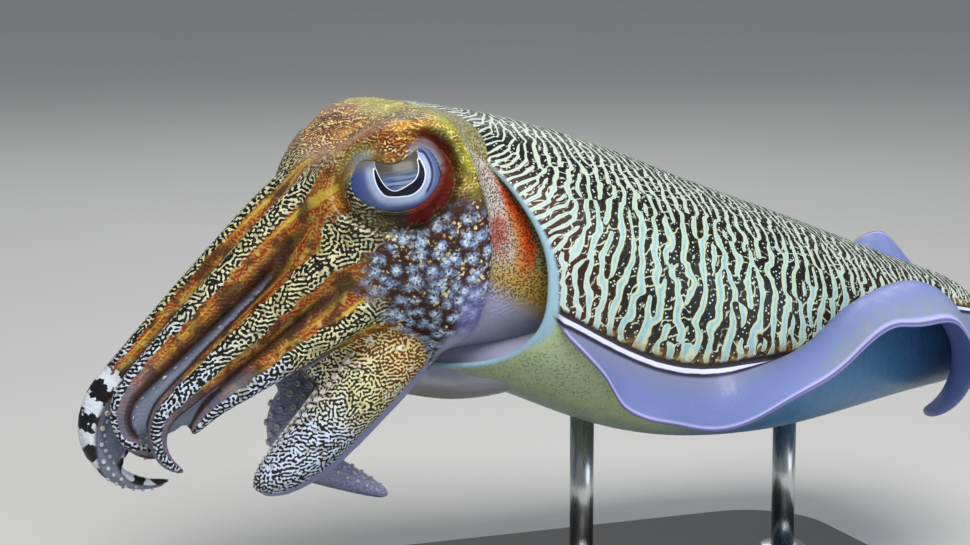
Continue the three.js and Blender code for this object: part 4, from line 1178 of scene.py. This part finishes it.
def eye_paint():
    finish = Finish("eye_ball", Coat_Weight=0.12, Coat_Roughness=0.08, Specular_IOR_Level=0.15)
    x, z = finish.attribute("eye_x"), finish.attribute("eye_z")
    band = finish.attribute("pupil")
    tone = finish.cloud(4, 3.0)
    streak = finish.cloud(0.7, 3.0)
    silver = finish.mixed(tone, (0.17, 0.25, 0.46), (0.44, 0.52, 0.68))
    outer = finish.spread(band, -1.4, -3.8)
    silver = finish.mixed(outer, silver, (0.08, 0.12, 0.28))
    silver = finish.mixed(finish.spread(z, -6.8, -9.2), silver, (0.03, 0.04, 0.10))
    silver = finish.mixed(finish.spread(x, -8, -13), silver, (0.05, 0.08, 0.26))
    silver = finish.mixed(finish.spread(z, 3, 8) * finish.spread(x, 0, -8), silver, (0.16, 0.14, 0.10))
    crease = finish.spread(abs(band + 2.4), 0.7, 0.2) * finish.spread(x, 7.5, 9)
    silver = finish.mixed(crease, silver, (0.03, 0.035, 0.10))
    level = finish.node("ShaderNodeCombineXYZ", {}, {"X": x * 0.10, "Y": z * 1.1})
    layers = finish.node("ShaderNodeTexNoise", {}, {"Vector": level, "Scale": 1.0, "Detail": 3.0})
    flap = finish.mixed(finish.spread(layers, 0.38, 0.62), (0.035, 0.07, 0.19), (0.20, 0.26, 0.38))
    flap = finish.mixed(finish.spread(z, 0.0, 4.5), flap, (0.07, 0.065, 0.05))
    colour = finish.mixed(finish.spread(band, -0.1, 0.1), silver, flap)
    inner = finish.spread(abs(band - 0.2), 0.19, 0.06)
    colour = finish.mixed(inner, colour, (0.86, 0.88, 0.92))
    edge = finish.spread(abs(band + 0.22), 0.26, 0.04)
    colour = finish.mixed(edge * 0.9, colour, (0.80, 0.84, 0.90))
    dark = finish.attribute("dark")
    colour = finish.mixed(finish.spread(dark, 0.35, 0.6), colour, (0.004, 0.005, 0.020))
    return finish.painted(colour, 0.22 + 0.1 * tone + 0.05 * streak)


PUPIL = [  # across and up from the middle of the opening, and half the width there
    (-5.9, 4.6, 0.25), (-5.7, 2.2, 0.6), (-5.0, -0.3, 0.85), (-3.5, -2.6, 1.0), (-1.2, -3.5, 0.75),
    (1.0, -3.5, 1.0), (3.6, -3.1, 1.45), (6.2, -1.8, 1.35), (7.8, 0.4, 1.05), (8.3, 2.8, 0.7),
    (8.0, 5.2, 0.3),
]
PUPIL_STEPS = 160
PUPIL_SINK = 0.012
BALL_SEGMENTS, BALL_RINGS = 160, 110
along = np.linspace(0, len(PUPIL) - 1, PUPIL_STEPS)
pupil = [through(*enumerate(column))(along) for column in zip(*PUPIL)]
ball_paint = eye_paint()
for flank in ("left", "right"):
    bm = bmesh.new()
    bmesh.ops.create_uvsphere(bm, u_segments=BALL_SEGMENTS, v_segments=BALL_RINGS, radius=EYE_RADIUS)
    ball = np.array([v.co for v in bm.verts])
    turned_ball = np.stack([ball[:, 0], ball[:, 2], -ball[:, 1]], -1) * EYE_SHAPE
    x, z = turned_ball[:, 0] - OPENING[0], turned_ball[:, 2] - OPENING[1]
    far = np.hypot(x[:, None] - pupil[0], z[:, None] - pupil[1])
    nearest = far.argmin(1)
    front = turned_ball[:, 1] > 0
    outward = far.min(1) - pupil[2][nearest]
    dark = np.where(front, np.clip(0.5 - outward / 0.35, 0, 1), 0)
    within = np.interp(x, pupil[0][8:-20], pupil[1][8:-20])
    above = (z > within) & (x > -5.6) & (x < 8.0)
    band = np.where(front, outward * np.where(above, 1, -1), -9)
    sunk = turned_ball * (1 - PUPIL_SINK * dark[:, None])
    middle, axes = eye_axes(flank)
    if flank == "left":
        sunk[:, 1] *= -1
    place = hovering(middle + sunk @ axes)
    for vert, co in zip(bm.verts, place):
        vert.co = co
    bmesh.ops.recalc_face_normals(bm, faces=bm.faces)
    mesh = bpy.data.meshes.new("eye_" + flank)
    bm.to_mesh(mesh)
    bm.free()
    store(mesh, eye_x=x, eye_z=z, pupil=band, dark=dark)
    dressed("eye_ball_" + flank, mesh, ball_paint, "eye", "eye_" + flank, "pupil_" + flank)

# Suckers: small horny cups in four staggered rows down the inner face of every arm, each pressed
# onto the skin by its foot.
SUCKER_ROWS = (-0.62, -0.2, 0.2, 0.62)
SUCKERS_ALONG = 22
SUCKER_RADIUS = 1.5
SUCKER_PROFILE = [(0, -0.9), (0.7, -0.7), (1, 0.35), (0.92, 0.62), (0.66, 0.6), (0.4, 0.3), (0, 0.2)]


def sucker_paint():
    finish = Finish("sucker_skin", Subsurface_Weight=0.15, Subsurface_Scale=0.002, Coat_Weight=0.4,
                    Coat_Roughness=0.2)
    tone = finish.cloud(6, 2.0)
    return finish.painted(finish.mixed(tone, (0.46, 0.44, 0.46), (0.66, 0.62, 0.58)), 0.35 + 0.1 * tone)


cup = bmesh.new()
profile = [cup.verts.new((r, 0, z)) for r, z in SUCKER_PROFILE]
line = [cup.edges.new(pair) for pair in zip(profile, profile[1:])]
bmesh.ops.spin(cup, geom=profile + line, cent=(0, 0, 0), axis=(0, 0, 1), angle=math.tau, steps=7,
               use_merge=True)
bmesh.ops.remove_doubles(cup, verts=cup.verts, dist=1e-5)
bmesh.ops.recalc_face_normals(cup, faces=cup.faces)
cup_mesh = bpy.data.meshes.new("cup")
cup.to_mesh(cup_mesh)
cup.free()
chance = np.random.default_rng(4)
all_cups = bmesh.new()
for arm in arms:
    for k in range(SUCKERS_ALONG):
        for j, aside in enumerate(SUCKER_ROWS):
            s = 0.06 + 0.91 * (k + 0.5 * (j % 2)) / SUCKERS_ALONG
            place, aboral, side, taper = arm.at(np.array(s))
            aside = aside * chance.uniform(0.9, 1.1)
            inward = math.sqrt(1 - aside * aside)
            width, depth = arm.width / 2 * taper, arm.depth / 2 * taper * 0.75
            foot = place + side * width * aside - aboral * depth * inward
            out = unit(side * aside / width - aboral * inward / depth)
            radius = SUCKER_RADIUS * float(slender(s)) ** 0.9 * chance.uniform(0.88, 1.12)
            turn = Vector((0, 0, 1)).rotation_difference(Vector(out)).to_matrix().to_4x4()
            at = Matrix.Translation(Vector(foot)) @ turn @ Matrix.Scale(radius, 4)
            cup_mesh.transform(at)
            all_cups.from_mesh(cup_mesh)
            cup_mesh.transform(at.inverted())
dressed("suckers", placed(all_cups, "suckers"), sucker_paint(), "arm_skin")

# Floor, light and camera: a plain pale floor, soft studio light from above and the side, and
# the camera where the photograph was taken from.
FLOOR_SIZE = 6.0
PHOTO_WIDTH, PHOTO_FOCAL = 970, 2750  # pixels
SENSOR = 36
LENS = PHOTO_FOCAL / PHOTO_WIDTH * SENSOR
TARGET = Vector((-30, 0, 120)) * MM
CAMERA_SIDE = math.radians(22)
CAMERA_UP = math.radians(10)
CAMERA_FAR = 900 * MM

bm = bmesh.new()
bmesh.ops.create_grid(bm, x_segments=1, y_segments=1, size=FLOOR_SIZE)
mesh = bpy.data.meshes.new("floor")
bm.to_mesh(mesh)
bm.free()
floor = bpy.data.objects.new("floor", mesh)
bpy.context.scene.collection.objects.link(floor)
plaster = Finish("pale_plaster", Roughness=0.6)
shade = plaster.cloud(300, 3.0)
mesh.materials.append(plaster.painted(plaster.mixed(shade, (0.60, 0.60, 0.59), (0.66, 0.66, 0.65))))


def softbox(name, place, size, power, tint):
    light = bpy.data.lights.new(name, "AREA")
    light.shape = "RECTANGLE"
    light.size, light.size_y = size
    light.energy = power
    light.color = tint
    made = bpy.data.objects.new(name, light)
    made.location = place
    made.rotation_euler = (TARGET - Vector(place)).to_track_quat("-Z", "Y").to_euler()
    bpy.context.scene.collection.objects.link(made)


softbox("key", (-0.15, -0.85, 1.2), (0.8, 0.6), 22, (1.0, 0.98, 0.95))
softbox("fill", (0.9, -1.1, 0.5), (0.9, 0.9), 5, (0.86, 0.92, 1.0))
softbox("back", (0.3, 1.1, 0.9), (1.0, 0.5), 4, (1.0, 1.0, 1.0))
world = bpy.data.worlds.new("studio")
world.use_nodes = True
world.node_tree.nodes["Background"].inputs["Color"].default_value = (0.72, 0.76, 0.80, 1)
world.node_tree.nodes["Background"].inputs["Strength"].default_value = 0.3
bpy.context.scene.world = world
bpy.context.scene.view_settings.view_transform = "Standard"

camera = bpy.data.objects.new("camera", bpy.data.cameras.new("camera"))
bpy.context.scene.collection.objects.link(camera)
camera.data.lens = LENS
camera.data.sensor_width = SENSOR
camera.data.clip_start = 0.05
back = Vector((
    -math.sin(CAMERA_SIDE) * math.cos(CAMERA_UP), -math.cos(CAMERA_SIDE) * math.cos(CAMERA_UP),
    math.sin(CAMERA_UP),
))
camera.location = TARGET + back * CAMERA_FAR
camera.rotation_euler = (-back).to_track_quat("-Z", "Y").to_euler()
bpy.context.scene.camera = camera
